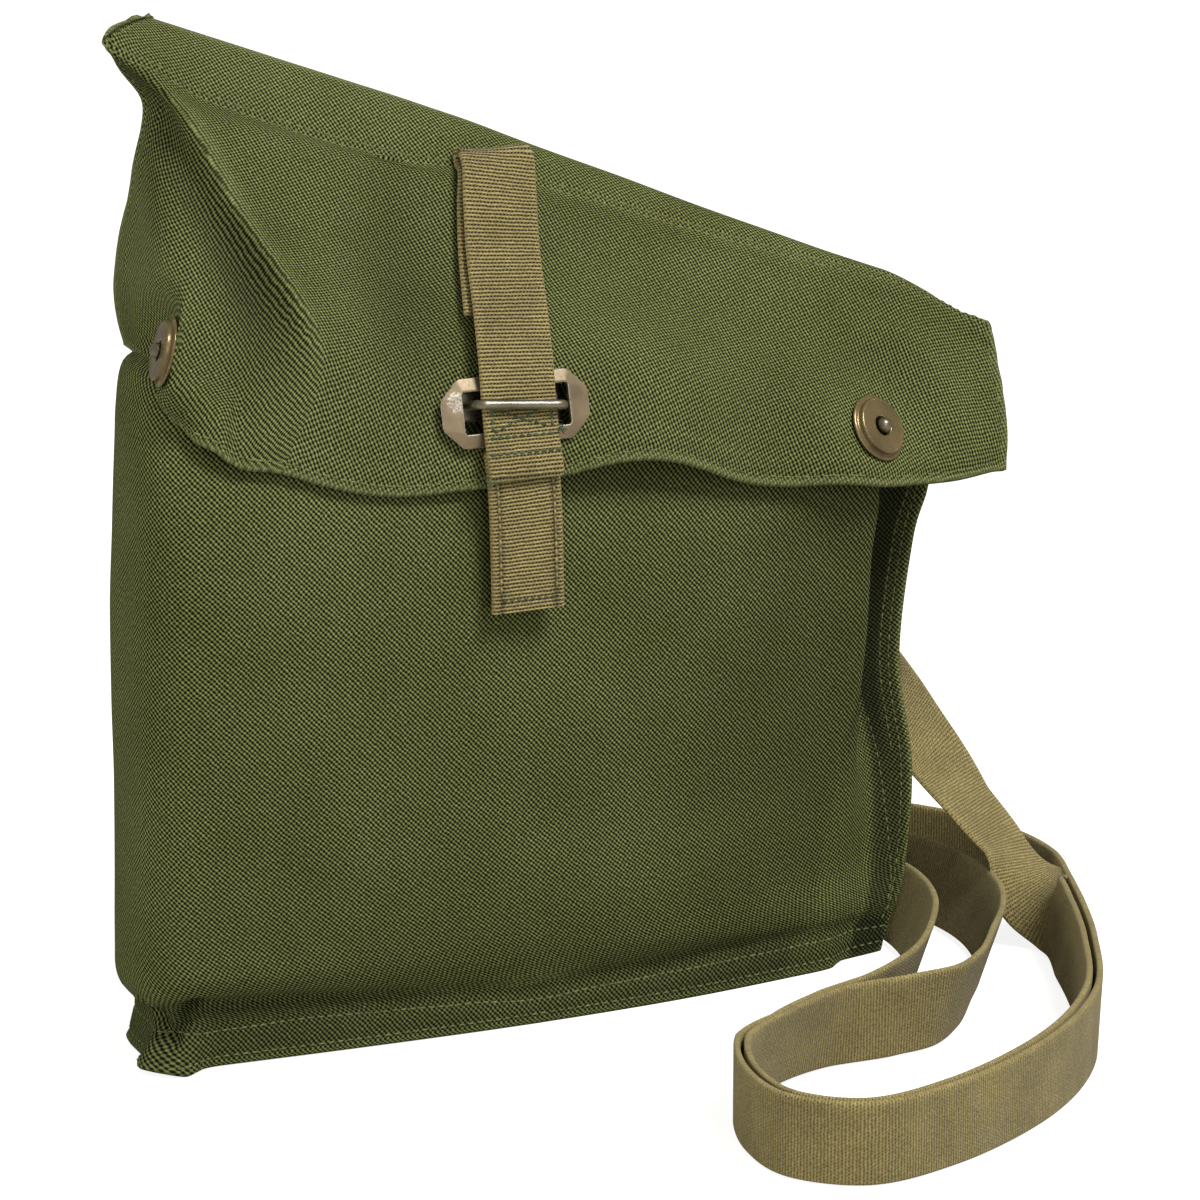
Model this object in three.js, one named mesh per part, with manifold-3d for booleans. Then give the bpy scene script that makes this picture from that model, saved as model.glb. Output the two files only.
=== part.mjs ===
// A canvas gas mask bag: a stuffed-looking pouch with a sloping top, a flap with a pulled-out ear,
// a webbing closing strap under a wire staple, two ball snaps and a webbing shoulder strap.
// Millimetres, +Z up, +Y to the back panel, origin on the floor under the middle of the bag.
import * as THREE from 'three';
import { mergeVertices } from 'three/addons/utils/BufferGeometryUtils.js';
import Module from 'manifold-3d';

const wasm = await Module();
wasm.setup();

// Driving dimensions of the cloth and its webbing
const CANVAS = 1.6;
const SEAM_GAP = 0.5;
const BACK_PLANE = 21.4;
const FLANGE_PLANE = 19.2;
const BACK_BEND_FROM = 96;
const BACK_LEFT = -104;
const BACK_TOP_DROP = 14;
const WEBBING_WIDTH = 25;
const WEBBING = 2;
const CLOSING_WIDTH = 23.8;
const TAB_WIDTH = 23.2;
const TAB_THICKNESS = 2.6;

// Driving dimensions of the fittings; CLEAR is the air left between a fitting and what it sits on
const CLEAR = 0.8;
const SNAP_LIFT = 2;
const PLATE = { width: 47, height: 20.5, clip: 6, thick: 0.5, lip: 1.5, lipShare: 0.14, off: 1.8 };
const PLATE_POINTS = 48;
const WIRE_STEPS = 44;
const WIRE_SIDES = 12;
const CAP_SIDES = 28;
const STUD_SIDES = 16;
const SLOT = { width: 34, height: 12.5, clip: 0.6 };
const WIRE = 2.9;
const STAPLE = {
  span: 27.5, rise: 7.9, bend: 2.2, reach: 2.8, lean: -5.5, up: 0.9,
  footLength: 33.5, footWidth: 9, footThick: 1,
};
const CAP = { base: 21, baseThick: 0.8, step: 0.5, face: 17.8, height: 2.8, rim: 1.2, dish: 0.4, hole: 3.1 };
const STUD = { ball: 4.6, proud: 0.9, post: 1.7, foot: 3.6, footThick: 0.8, reach: 2.9 };
const CUT_DEPTH = 10;
const CLOSURE = { x: -11.6, z: 193.5 };

// Snaps: their place on the flap, the way they face, and the flat that each presses into the cloth
const RIGHT_SNAP = { x: 113.5, z: 171.5, facing: [0.43, -0.76, 0.49], flat: 10, blend: 34 };
const LEFT_SNAP = { across: 0.094, down: 0.9035, facing: [-0.955, 0.158, 0.254], flat: 14, blend: 26 };

// Marks between which the heights of a level run straight from its left value to its right value
const LEFT_MARK = -100;
const RIGHT_MARK = 120;

// Rows of a short table, with their values under the names of its columns
function table(columns, rows) {
  return rows.map((row) => Object.fromEntries(columns.map((name, i) => [name, row[i]])));
}

// Body levels, from the sewn foot to the mouth. zLeft and zRight are the level's heights at the two
// marks, left and round give the rolled left side, front is the depth of the face beside it and fall
// the power by which it falls back to edgeX and edgeY, the fold at the right. open is how far the
// gusset gapes, flange the sewn right edge, rootY and tipY the depths of that edge's root and tip.
const BODY_LEVELS = table(
  ['zLeft', 'zRight', 'left', 'round', 'front', 'fall', 'edgeX', 'edgeY', 'open', 'flange', 'rootY', 'tipY'],
  [
    [0, 0, -120.5, 10, -21.2, 3, 104, -1.5, 0, 124.5, 4, 8.5],
    [12.5, 11, -118.6, 16, -20.6, 3, 105, 1, 0, 130, 8, 12],
    [18, 15, -122.6, 21, -21.5, 3, 106, 2, 0, 132.5, 9.5, 13.5],
    [34, 30, -125.6, 25, -29, 3, 109, 4, 0, 137.2, 15, 17.5],
    [70, 58, -126, 27, -34.5, 2.3, 114.5, 5, 0.1, 139, FLANGE_PLANE, FLANGE_PLANE],
    [112, 92, -125.3, 27, -36, 2.2, 115, 0, 0.75, 134.4, FLANGE_PLANE, FLANGE_PLANE],
    [160, 130, -124, 27, -36, 2.2, 116, -4, 1, 138.5, FLANGE_PLANE, FLANGE_PLANE],
    [181, 146, -123.4, 30, -33, 2.2, 116.5, -6, 1, 143, FLANGE_PLANE, FLANGE_PLANE],
    [193, 155, -121, 36, -28, 2.2, 116, -5.5, 1, 144.5, FLANGE_PLANE, FLANGE_PLANE],
    [205, 164.5, -112.6, 35, -25.6, 2.2, 115.6, -4, 1, 145, FLANGE_PLANE, FLANGE_PLANE],
    [212, 168.5, -109, 33, -23.6, 2.2, 115.4, -3, 1, 145, FLANGE_PLANE, FLANGE_PLANE],
    [226, 176, -107, 29, -19, 2.2, 115.3, 0, 0.95, 143.7, FLANGE_PLANE, FLANGE_PLANE],
    [276, 203, -104.5, 18, 1, 2.2, 115, 10, 0.8, 143, FLANGE_PLANE, FLANGE_PLANE],
  ],
);
const BODY_ROWS_PER_LEVEL = 2;
const LEFT_TURNS = [82, 55, 28, 0, -28, -55, -78];
const FRONT_SHARES = [0.02, 0.25, 0.5, 0.75, 0.92];
const ROLL_POWER = 3.2;
const GUSSET_TUCK = 10;
const GUSSET_DEPTH = 0.6;
const FLANGE_WIDTH = 14;
const COLUMNS_PER_POINT = 2;
const FLOOR_COLUMNS = 24;
const BACK_COLUMNS = 16;

// Flap levels, from the edge sewn on the back, over the top crease and the stitched brow, to the hem.
// left and leftY place the left end, ridge and front where the face starts, facet how far the cloth
// falls back between them and power its roundness, right and rightY the right end; lift raises the
// left end.
const FLAP_LEVELS = table(
  ['zLeft', 'zRight', 'left', 'leftY', 'ridge', 'front', 'facet', 'power', 'right', 'rightY', 'lift'],
  [
    [270, 184, -104, 26.4, -92, 26.4, 0, 2, 150, 26.4, 0],
    [296, 208, -105, 26.2, -93, 26.2, 0, 2, 157, 25.6, 0],
    [305.2, 217.6, -107, 18, -95, 18, 0, 2, 160, 17, 0],
    [290.5, 215, -125, 3, -113, 0.5, 0, 2, 161, 14.5, 4],
    [281, 207, -109.4, 14, -103, -4, 2, 2.8, 162.5, 12, 0],
    [258, 194, -112.4, 18.5, -91, -13, 5.5, 4.5, 163, 8.5, 0],
    [224, 175, -117.6, 19.2, -70, -26, 1, 6.5, 163, 4.5, 3],
    [183, 155, -115, 19, -86, -36, 0, 6, 161.5, 0.5, 25],
  ],
);
const FLAP_ROWS_PER_LEVEL = 4;
const FLAP_LEFT_COLUMNS = 9;
const FLAP_FRONT_COLUMNS = 27;
const FLAP_POWER = 2.1;
const LIFT_POWER = 2;
const CREASE_LEVEL = 2;
const BROW_LEVEL = 3;
const HEM_LEVEL = FLAP_LEVELS.length - 1;
const RIM_LEVEL = BODY_LEVELS.length - 1;
const RIGHT_DROOP = { from: 125, to: 166, drop: 9 };
const EAR_FULLNESS = { level: 3.6, out: 3.2, width: 0.3 };
const CREASE_BOW = { x: -10, rise: 2.4, width: 80 };
const BROW_WIDTH = 0.6;
// Sag of the stitched brow along x, straight between its rows
const BROW_SAG = table(
  ['x', 'rise'],
  [
    [-125, 3], [-118, 2.9], [-111, 2.1], [-96, -2.5], [-84, -3.4], [-60, -5.4], [-32, -5.4], [-19, -3.5],
    [8, -1.4], [95, -0.6], [152, 2],
  ],
);
// Waves of the hem: where they are, how far they rise and stand out, and how wide they are.
const HEM_WAVES = table(
  ['x', 'rise', 'out', 'width'],
  [
    [-107, 6, 0, 7],
    [-90, 3, 0, 14],
    [-52, -3.6, 0, 24],
    [28, 9, 3, 27],
    [48, 1.2, 0, 14],
    [111, -2, 0, 14],
    [160, 3, 0, 14],
  ],
);

// Closing strap on the flap: heights on the flap, how far its middle stands off it and how far it
// drifts sideways. It starts at the tail's end, folds over at the top and ends in the sewn roll.
const CLOSING_ROUTE = table(
  ['z', 'off', 'side'],
  [
    [219, 2.1, -0.6], [236, 2.1, 0.8], [249, 2.5, 2.6], [256.5, 3, 4], [260, 2.7, 4.5],
    [261.3, 4.1, 4.7], [260.2, 5.5, 4.7], [257, 5.8, 4.2], [249, 5.5, 3], [236, 5, 1.8], [219, 5.1, 1],
    [206, 5.1, 0.4], [195, 5, 0], [184, 5.3, 0], [175, 5.9, 0.1],
  ],
);
const TAB_ROUTE = table(
  ['z', 'off', 'side'],
  [
    [182, 2.3, 0.2], [174, 2.6, 0.4], [164, 2.9, 0.8], [149, 3.2, 1.1], [133.8, 3.4, 1.3],
  ],
);
const CLOSING_STEPS = 48;
const STRAP_STIFFNESS = 0.6;
const HEM_MARGIN = 0.5;
const TAB_STEPS = 12;

// Shoulder strap, standing on its edge on the floor: down from its right sewn end, doubled round the
// front, a bight to the right side, and behind the bag to its left sewn end. A row without a height is
// on the floor; tip is how far its upper edge goes to the right for each millimetre up. The bights lean
// by one tip, and RISE_LEAN is how far the rise's upper edge goes back for each millimetre up.
const ON_FLOOR = WEBBING_WIDTH / 2 + 0.3;
const BEHIND = BACK_PLANE + SEAM_GAP + CANVAS + WEBBING / 2 + CLEAR;
const ROUTE_COLUMNS = ['x', 'y', 'z', 'tip'];
const LOOP_TIP = 0.38;
const RISE_LEAN = [0, 0, 0.4, 0.85, 1.5, 1.7, 1, 0.3, 0];
const RISE = table(ROUTE_COLUMNS, [
  [104, BEHIND, 111, 1], [126, BEHIND + 1, 86, 1], [140, 31, 70.5, 0.9], [150.8, 29.6, 56.5, 0.7],
  [159.2, 20.5, 42, 0.6], [167.3, 10, 29, 0.4], [171, -1, 18.5, 0.3],
]);
const DOUBLED = table(ROUTE_COLUMNS, [
  [174.5, -13, ON_FLOOR, 0.25], [167, -39, ON_FLOOR, 0.2], [156, -72, ON_FLOOR, 0.12],
  [136.5, -116, ON_FLOOR, 0.04],
  [106, -152], [62, -181], [33, -188], [16, -174], [14, -150], [24, -119.5],
]);
const NEAR_RETURN = table(ROUTE_COLUMNS, [
  [44, -101.5], [65.5, -90], [88.5, -87], [105, -82.5], [118, -70.5], [131.7, -50],
  [143.5, -31], [151.5, -12], [155, 10], [152.5, 33], [144, 56], [133, 74],
]);
const FAR_RETURN = table(ROUTE_COLUMNS, [
  [123, 82], [119.5, 71], [124, 53], [130.5, 34], [133.5, 14], [129, -12],
  [117.7, -36], [100.5, -61], [78, -80], [55.5, -91.5], [37.5, -103.5],
]);
const TAIL = table(ROUTE_COLUMNS, [
  [183.5, 12, ON_FLOOR, 0.15], [186, 38], [184, 66], [173, 95], [149, 117], [115, 119], [75, 106], [36, 86],
  [-2, 67], [-32, 52, ON_FLOOR + 2], [-55, 42, 24, 0.5], [-73, 33.5, 46, 1.5],
  [-86, BEHIND + 0.8, 76, 2.2], [-98, BEHIND, 104, 2.2],
]);
const DOUBLED_GAP = 3.1;
const STRAP_STEPS = 150;

const { lerp, clamp, smoothstep } = THREE.MathUtils;

// Round bump of height 1
function swell(value, centre, width) {
  return Math.exp(-(((value - centre) / width) ** 2));
}

// Smooth value of one named column of a level table, at a level that need not be whole
function columnAt(levels, level, column) {
  const last = levels.length - 1;
  const i = clamp(Math.floor(level), 0, last - 1);
  const t = level - i;
  const value = (k) => levels[clamp(k, 0, last)][column];
  const [p0, p1, p2, p3] = [value(i - 1), value(i), value(i + 1), value(i + 2)];
  const a = 0.5 * (p2 - p0);
  const b = 0.5 * (p3 - p1);
  const values = ((2 * t - 3) * t * t + 1) * p1 + (3 - 2 * t) * t * t * p2;
  return values + ((t - 2) * t + 1) * t * a + (t - 1) * t * t * b;
}

function heightAt(levels, level, x) {
  const share = (x - LEFT_MARK) / (RIGHT_MARK - LEFT_MARK);
  return lerp(columnAt(levels, level, 'zLeft'), columnAt(levels, level, 'zRight'), share);
}

// Power of a sine or cosine that keeps its sign, for superellipse arcs
function signedPower(value, power) {
  return Math.sign(value) * Math.pow(Math.abs(value), power);
}

// Plan of the body at a level: the rolled left side, the face, the fold at the right, the tucked
// gusset and the sewn flange, as a curve through a few worked-out points
function bodyPlan(level) {
  const at = (column) => columnAt(BODY_LEVELS, level, column);
  const front = at('front');
  const start = at('left') + at('round');
  const middle = (BACK_PLANE + front) / 2;
  const half = (BACK_PLANE - front) / 2;
  const points = LEFT_TURNS.map((degrees) => {
    const turn = THREE.MathUtils.degToRad(degrees);
    const x = start - at('round') * signedPower(Math.cos(turn), 2 / ROLL_POWER);
    return new THREE.Vector3(x, middle + half * signedPower(Math.sin(turn), 2 / ROLL_POWER), 0);
  });
  for (const share of FRONT_SHARES) {
    const y = lerp(front, at('edgeY'), Math.pow(share, at('fall')));
    points.push(new THREE.Vector3(lerp(start, at('edgeX'), share), y, 0));
  }
  const edge = new THREE.Vector3(at('edgeX'), at('edgeY'), 0);
  const root = new THREE.Vector3(at('flange') - FLANGE_WIDTH, at('rootY'), 0);
  const straight = edge.clone().lerp(root, 0.5);
  const tucked = new THREE.Vector3(edge.x - GUSSET_TUCK, lerp(edge.y, root.y, GUSSET_DEPTH), 0);
  const tip = new THREE.Vector3(at('flange'), at('tipY'), 0);
  points.push(edge, straight.lerp(tucked, at('open')), root, tip);
  return new THREE.CatmullRomCurve3(points, false, 'centripetal');
}

const BODY_POINTS = LEFT_TURNS.length + FRONT_SHARES.length + 4;

// Point on the body's outside: around runs from the back of the left side to the flange's tip
function bodyPoint(around, up) {
  const level = up * RIM_LEVEL;
  const point = bodyPlan(level).getPoint(around);
  point.z = heightAt(BODY_LEVELS, level, point.x);
  return point;
}

// Sag of the stitched brow at x
function browSag(x) {
  const next = BROW_SAG.findIndex((row) => row.x > x);
  if (next < 1) return BROW_SAG.at(next).rise;
  const [from, to] = [BROW_SAG[next - 1], BROW_SAG[next]];
  return lerp(from.rise, to.rise, (x - from.x) / (to.x - from.x));
}

// Point on the flap's outside: across runs from its left end to its right end over the columns'
// split between the rolled left part and the face, down from its back edge to its hem
const LEFT_SHARE = FLAP_LEFT_COLUMNS / (FLAP_LEFT_COLUMNS + FLAP_FRONT_COLUMNS);

function flapPoint(across, down) {
  const level = down * HEM_LEVEL;
  const at = (column) => columnAt(FLAP_LEVELS, level, column);
  const point = new THREE.Vector3();
  let raise = 0;
  if (across < LEFT_SHARE) {
    const turn = (across / LEFT_SHARE) * Math.PI / 2;
    const exponent = 2 / at('power');
    const away = Math.pow(Math.max(Math.cos(turn), 0), exponent);
    const full = EAR_FULLNESS.out * swell(level, EAR_FULLNESS.level, EAR_FULLNESS.width) * Math.cos(turn);
    point.x = lerp(at('ridge'), at('left'), away) - full;
    point.y = lerp(at('leftY'), at('front') + at('facet') * away, Math.pow(Math.sin(turn), exponent));
    raise = at('lift') * Math.pow(1 - across / LEFT_SHARE, LIFT_POWER);
  } else {
    const share = (across - LEFT_SHARE) / (1 - LEFT_SHARE);
    point.x = lerp(at('ridge'), at('right'), share);
    point.y = lerp(at('front'), at('rightY'), Math.pow(share, FLAP_POWER));
  }
  const wave = smoothstep(level, BROW_LEVEL, HEM_LEVEL);
  for (const { x, rise, out, width } of HEM_WAVES) {
    const bump = wave * wave * swell(point.x, x, width);
    raise += rise * bump;
    point.y -= out * bump;
  }
  raise -= RIGHT_DROOP.drop * smoothstep(point.x, RIGHT_DROOP.from, RIGHT_DROOP.to) * (1 - wave);
  raise += browSag(point.x) * swell(level, BROW_LEVEL, BROW_WIDTH);
  raise += CREASE_BOW.rise * swell(point.x, CREASE_BOW.x, CREASE_BOW.width) * (1 - wave);
  point.z = heightAt(FLAP_LEVELS, level, point.x) + raise;
  return point;
}

// Outward direction of a surface of two parameters, from its two slopes
function normalOf(surface, a, b, turned) {
  const step = 1e-3;
  const low = (value) => Math.max(value - step, 0);
  const high = (value) => Math.min(value + step, 1);
  const alongA = surface(high(a), b).sub(surface(low(a), b));
  const alongB = surface(a, high(b)).sub(surface(a, low(b)));
  return turned ? alongB.cross(alongA).normalize() : alongA.cross(alongB).normalize();
}

// Closed wall of cloth behind a surface of two parameters, as thick as the cloth
function clothWall(surface, sharesA, sharesB, thickness, turned) {
  const positions = [];
  const index = [];
  const columns = sharesA.length;
  const rows = sharesB.length;
  for (const side of [0, 1]) {
    for (const b of sharesB) {
      for (const a of sharesA) {
        const point = surface(a, b).addScaledVector(normalOf(surface, a, b, turned), -side * thickness);
        positions.push(point.x, point.y, Math.max(point.z, 0));
      }
    }
  }
  const back = columns * rows;
  const at = (i, j) => j * columns + i;
  const quad = (p, q, r, s) => {
    if (turned) index.push(p, r, q, p, s, r);
    else index.push(p, q, r, p, r, s);
  };
  for (let j = 0; j < rows - 1; j += 1) {
    for (let i = 0; i < columns - 1; i += 1) {
      quad(at(i, j), at(i + 1, j), at(i + 1, j + 1), at(i, j + 1));
      quad(back + at(i, j), back + at(i, j + 1), back + at(i + 1, j + 1), back + at(i + 1, j));
    }
  }
  const rim = [];
  for (let i = 0; i < columns - 1; i += 1) rim.push(at(i, 0));
  for (let j = 0; j < rows - 1; j += 1) rim.push(at(columns - 1, j));
  for (let i = columns - 1; i > 0; i -= 1) rim.push(at(i, rows - 1));
  for (let j = rows - 1; j > 0; j -= 1) rim.push(at(0, j));
  rim.forEach((from, k) => {
    const to = rim[(k + 1) % rim.length];
    quad(from, back + from, back + to, to);
  });
  const geometry = new THREE.BufferGeometry();
  geometry.setAttribute('position', new THREE.Float32BufferAttribute(positions, 3));
  geometry.setIndex(index);
  return geometry;
}

const steps = (count) => Array.from({ length: count + 1 }, (_, i) => i / count);

const bag = new THREE.Group();

function addPiece(name, geometry, colour, roughness, metalness) {
  const finish = new THREE.MeshStandardMaterial({ color: colour, roughness, metalness });
  const mesh = new THREE.Mesh(geometry, finish);
  mesh.name = name;
  bag.add(mesh);
  return mesh;
}

const OLIVE = '#4d5a2c';
const TAN = '#8a7742';
const LACQUER = '#5a4a2c';
const NICKEL = '#9c9484';
const CLOTH_ROUGHNESS = 0.9;
const LACQUER_ROUGHNESS = 0.4;
const LACQUER_METAL = 0.7;
const NICKEL_ROUGHNESS = 0.35;
const NICKEL_METAL = 0.95;

// Body: the wrapped front panel, the flat back and the floor
const bodyColumns = steps((BODY_POINTS - 1) * COLUMNS_PER_POINT);
const bodyRows = steps(RIM_LEVEL * BODY_ROWS_PER_LEVEL);
const frontWall = clothWall(bodyPoint, bodyColumns, bodyRows, CANVAS, false);
addPiece('front_panel', frontWall, OLIVE, CLOTH_ROUGHNESS, 0);

// Point on the back panel's outside; its right edge is the flange's and its top follows the crease
function backPoint(across, up) {
  const level = up * RIM_LEVEL;
  const x = lerp(BACK_LEFT, columnAt(BODY_LEVELS, level, 'flange'), across);
  const top = heightAt(FLAP_LEVELS, CREASE_LEVEL, x) - BACK_TOP_DROP;
  const extra = (top - heightAt(BODY_LEVELS, RIM_LEVEL, x)) * up * up;
  const flange = columnAt(BODY_LEVELS, level, 'flange');
  const bend = (columnAt(BODY_LEVELS, level, 'tipY') - FLANGE_PLANE) * smoothstep(x, BACK_BEND_FROM, flange);
  return new THREE.Vector3(x, BACK_PLANE + SEAM_GAP + CANVAS + bend, heightAt(BODY_LEVELS, level, x) + extra);
}

const backWall = clothWall(backPoint, steps(BACK_COLUMNS), bodyRows, CANVAS, true);
addPiece('back_panel', backWall, OLIVE, CLOTH_ROUGHNESS, 0);

// Point on the floor panel's underside, between the insides of the foot and of the back panel
function floorPoint(across, deep) {
  const { left, round, front, fall, edgeX, edgeY } = BODY_LEVELS[0];
  const inset = CANVAS + 3 * SEAM_GAP;
  const start = left + round;
  const x = lerp(left + 2 * inset, edgeX - inset, across);
  const middle = (BACK_PLANE + front) / 2;
  const half = (BACK_PLANE - front) / 2;
  const roll = Math.pow(1 - Math.pow(Math.max(start - x, 0) / round, ROLL_POWER), 1 / ROLL_POWER);
  const face = lerp(front, edgeY, Math.pow(Math.max(x - start, 0) / (edgeX - start), fall));
  const near = (x < start ? middle - half * roll : face) + inset;
  const far = (x < start ? middle + half * roll : BACK_PLANE) - inset;
  return new THREE.Vector3(x, lerp(near, far, deep), 0);
}

const floorWall = clothWall(floorPoint, steps(FLOOR_COLUMNS), steps(2), CANVAS, true);
addPiece('bottom_panel', floorWall, OLIVE, CLOTH_ROUGHNESS, 0);

// Level of the flap at which its face has a height z at x, by halving
const HALVINGS = 40;

function flapDown(x, z) {
  let [low, high] = [CREASE_LEVEL / HEM_LEVEL, 1];
  for (let i = 0; i < HALVINGS; i += 1) {
    const middle = (low + high) / 2;
    if (flapPoint(flapAcross(x, middle), middle).z > z) low = middle;
    else high = middle;
  }
  return low;
}

function flapAcross(x, down) {
  const at = (column) => columnAt(FLAP_LEVELS, down * HEM_LEVEL, column);
  return LEFT_SHARE + (1 - LEFT_SHARE) * (x - at('ridge')) / (at('right') - at('ridge'));
}

// Frame on the flap: its point, the way out of it, the level way to the right and the way up it
function frameAt(across, down) {
  const point = flapPoint(across, down);
  const out = normalOf(flapPoint, across, down, true);
  const right = new THREE.Vector3(-out.y, out.x, 0).normalize();
  const up = new THREE.Vector3().crossVectors(out, right);
  return { point, out, right, up };
}

function faceFrame(x, z) {
  const down = flapDown(x, z);
  return frameAt(flapAcross(x, down), down);
}

// The same place, facing another way
function facingFrame({ point }, facing) {
  const out = new THREE.Vector3(...facing).normalize();
  const right = new THREE.Vector3(-out.y, out.x, 0).normalize();
  return { point, out, right, up: new THREE.Vector3().crossVectors(out, right) };
}

function matrixOf({ point, out, right, up }) {
  return new THREE.Matrix4().makeBasis(right, up, out).setPosition(point);
}

function solidOf(geometry) {
  const bare = geometry.clone();
  bare.deleteAttribute('normal');
  bare.deleteAttribute('uv');
  const merged = mergeVertices(bare, 1e-4);
  const mesh = new wasm.Mesh({
    numProp: 3,
    vertProperties: new Float32Array(merged.attributes.position.array),
    triVerts: new Uint32Array(merged.index.array),
  });
  return new wasm.Manifold(mesh);
}

function geometryOf(solid) {
  const mesh = solid.getMesh();
  const geometry = new THREE.BufferGeometry();
  geometry.setAttribute('position', new THREE.Float32BufferAttribute(mesh.vertProperties, 3));
  geometry.setIndex(new THREE.Uint32BufferAttribute(mesh.triVerts, 1));
  return geometry;
}

const closure = faceFrame(CLOSURE.x, CLOSURE.z);
const rightSnap = facingFrame(faceFrame(RIGHT_SNAP.x, RIGHT_SNAP.z), RIGHT_SNAP.facing);
const leftSnap = facingFrame(frameAt(LEFT_SNAP.across, LEFT_SNAP.down), LEFT_SNAP.facing);

// Point on the flap's outside with the two flats that the snaps press into it
function pressedPoint(across, down) {
  const point = flapPoint(across, down);
  for (const [frame, { flat, blend }] of [[leftSnap, LEFT_SNAP], [rightSnap, RIGHT_SNAP]]) {
    const pressed = 1 - smoothstep(point.distanceTo(frame.point), flat, blend);
    const off = point.clone().sub(frame.point).dot(frame.out);
    point.addScaledVector(frame.out, -pressed * off);
  }
  return point;
}

// Flap, with the staple's slot and the two stud holes cut through it
const flapColumns = steps(FLAP_LEFT_COLUMNS + FLAP_FRONT_COLUMNS);
const flapRows = steps(HEM_LEVEL * FLAP_ROWS_PER_LEVEL);
const slotCut = new THREE.BoxGeometry(SLOT.width, SLOT.height, CUT_DEPTH).applyMatrix4(matrixOf(closure));
const flapWall = clothWall(pressedPoint, flapColumns, flapRows, CANVAS, true);
let flapSolid = solidOf(flapWall).subtract(solidOf(slotCut));
for (const snap of [leftSnap, rightSnap]) {
  const hole = new THREE.CylinderGeometry(CAP.hole, CAP.hole, CUT_DEPTH, CAP_SIDES).rotateX(Math.PI / 2);
  flapSolid = flapSolid.subtract(solidOf(hole.applyMatrix4(matrixOf(snap))));
}
addPiece('flap', geometryOf(flapSolid), OLIVE, CLOTH_ROUGHNESS, 0);

// Rectangle with clipped corners, as evenly spaced points
function clippedOutline(width, height, clip, count) {
  const [w, h] = [width / 2, height / 2];
  const corners = [
    [w, clip - h], [w, h - clip], [w - clip, h], [clip - w, h],
    [-w, h - clip], [-w, clip - h], [clip - w, -h], [w - clip, -h],
  ];
  const path = new THREE.Path(corners.map(([x, y]) => new THREE.Vector2(x, y)));
  path.closePath();
  return path.getSpacedPoints(count).slice(0, count);
}

// Eyelet plate: a clipped rectangle that rises from a thin rim to a raised lip round its slot
function eyeletPlate() {
  const { width, height, clip, thick, lip, lipShare } = PLATE;
  const points = PLATE_POINTS;
  const outer = clippedOutline(width, height, clip, points);
  const inner = clippedOutline(SLOT.width, SLOT.height, SLOT.clip, points);
  const section = table(['share', 'high'], [[0, 0], [0, thick], [1 - lipShare, lip], [1, lip], [1, 0]]);
  const positions = [];
  const index = [];
  for (let i = 0; i < points; i += 1) {
    for (const { share, high } of section) {
      positions.push(lerp(outer[i].x, inner[i].x, share), lerp(outer[i].y, inner[i].y, share), high);
    }
  }
  const at = (i, k) => (i % points) * section.length + (k % section.length);
  for (let i = 0; i < points; i += 1) {
    for (let k = 0; k < section.length; k += 1) {
      index.push(at(i, k), at(i + 1, k), at(i + 1, k + 1), at(i, k), at(i + 1, k + 1), at(i, k + 1));
    }
  }
  const geometry = new THREE.BufferGeometry();
  geometry.setAttribute('position', new THREE.Float32BufferAttribute(positions, 3));
  geometry.setIndex(index);
  return geometry;
}

function place(mesh, frame, lift) {
  mesh.applyMatrix4(matrixOf(frame));
  mesh.position.addScaledVector(frame.out, lift);
}

place(addPiece('eyelet_plate', eyeletPlate(), LACQUER, LACQUER_ROUGHNESS, LACQUER_METAL), closure, PLATE.off);

// Staple: one bent wire whose legs pass through the slot to a foot plate against the front panel
function staple() {
  const { span, rise, bend, reach, footLength, footWidth, footThick, lean, up } = STAPLE;
  const half = span / 2;
  const line = [[-half, -reach], [-half, rise], [half, rise], [half, -reach]];
  const ends = line.map(([x, z]) => new THREE.Vector3(x, 0, z));
  const path = new THREE.CurvePath();
  let from = ends[0];
  for (const i of [1, 2]) {
    const before = ends[i].clone().add(ends[i - 1].clone().sub(ends[i]).setLength(bend));
    const after = ends[i].clone().add(ends[i + 1].clone().sub(ends[i]).setLength(bend));
    path.add(new THREE.LineCurve3(from, before));
    path.add(new THREE.QuadraticBezierCurve3(before, ends[i], after));
    from = after;
  }
  path.add(new THREE.LineCurve3(from, ends[3]));
  const section = new THREE.Shape().absarc(0, 0, WIRE / 2, 0, Math.PI * 2);
  const wire = new THREE.ExtrudeGeometry(section, { extrudePath: path, steps: WIRE_STEPS, curveSegments: WIRE_SIDES / 2 });
  const foot = new THREE.BoxGeometry(footLength, footWidth, footThick).translate(0, 0, -reach);
  const turned = geometryOf(solidOf(wire).add(solidOf(foot))).rotateZ(THREE.MathUtils.degToRad(lean));
  return turned.translate(0, up, 0);
}

place(addPiece('staple', staple(), NICKEL, NICKEL_ROUGHNESS, NICKEL_METAL), closure, 0);

// Section of a snap's cap: a base ring, a step up to a rolled rim and a dished face round the stud
function capProfile() {
  const { base, baseThick, step, face, height, rim, dish, hole } = CAP;
  const top = baseThick + step;
  const points = [
    [hole, 0], [base / 2, 0], [base / 2, baseThick], [base / 2 - step, top], [face / 2 + step / 2, top],
    [face / 2, height - step], [face / 2 - step, height], [face / 2 - rim, height - dish / 2],
    [hole, height - dish], [hole, 0],
  ];
  return points.map(([r, z]) => new THREE.Vector2(r, z));
}

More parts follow.
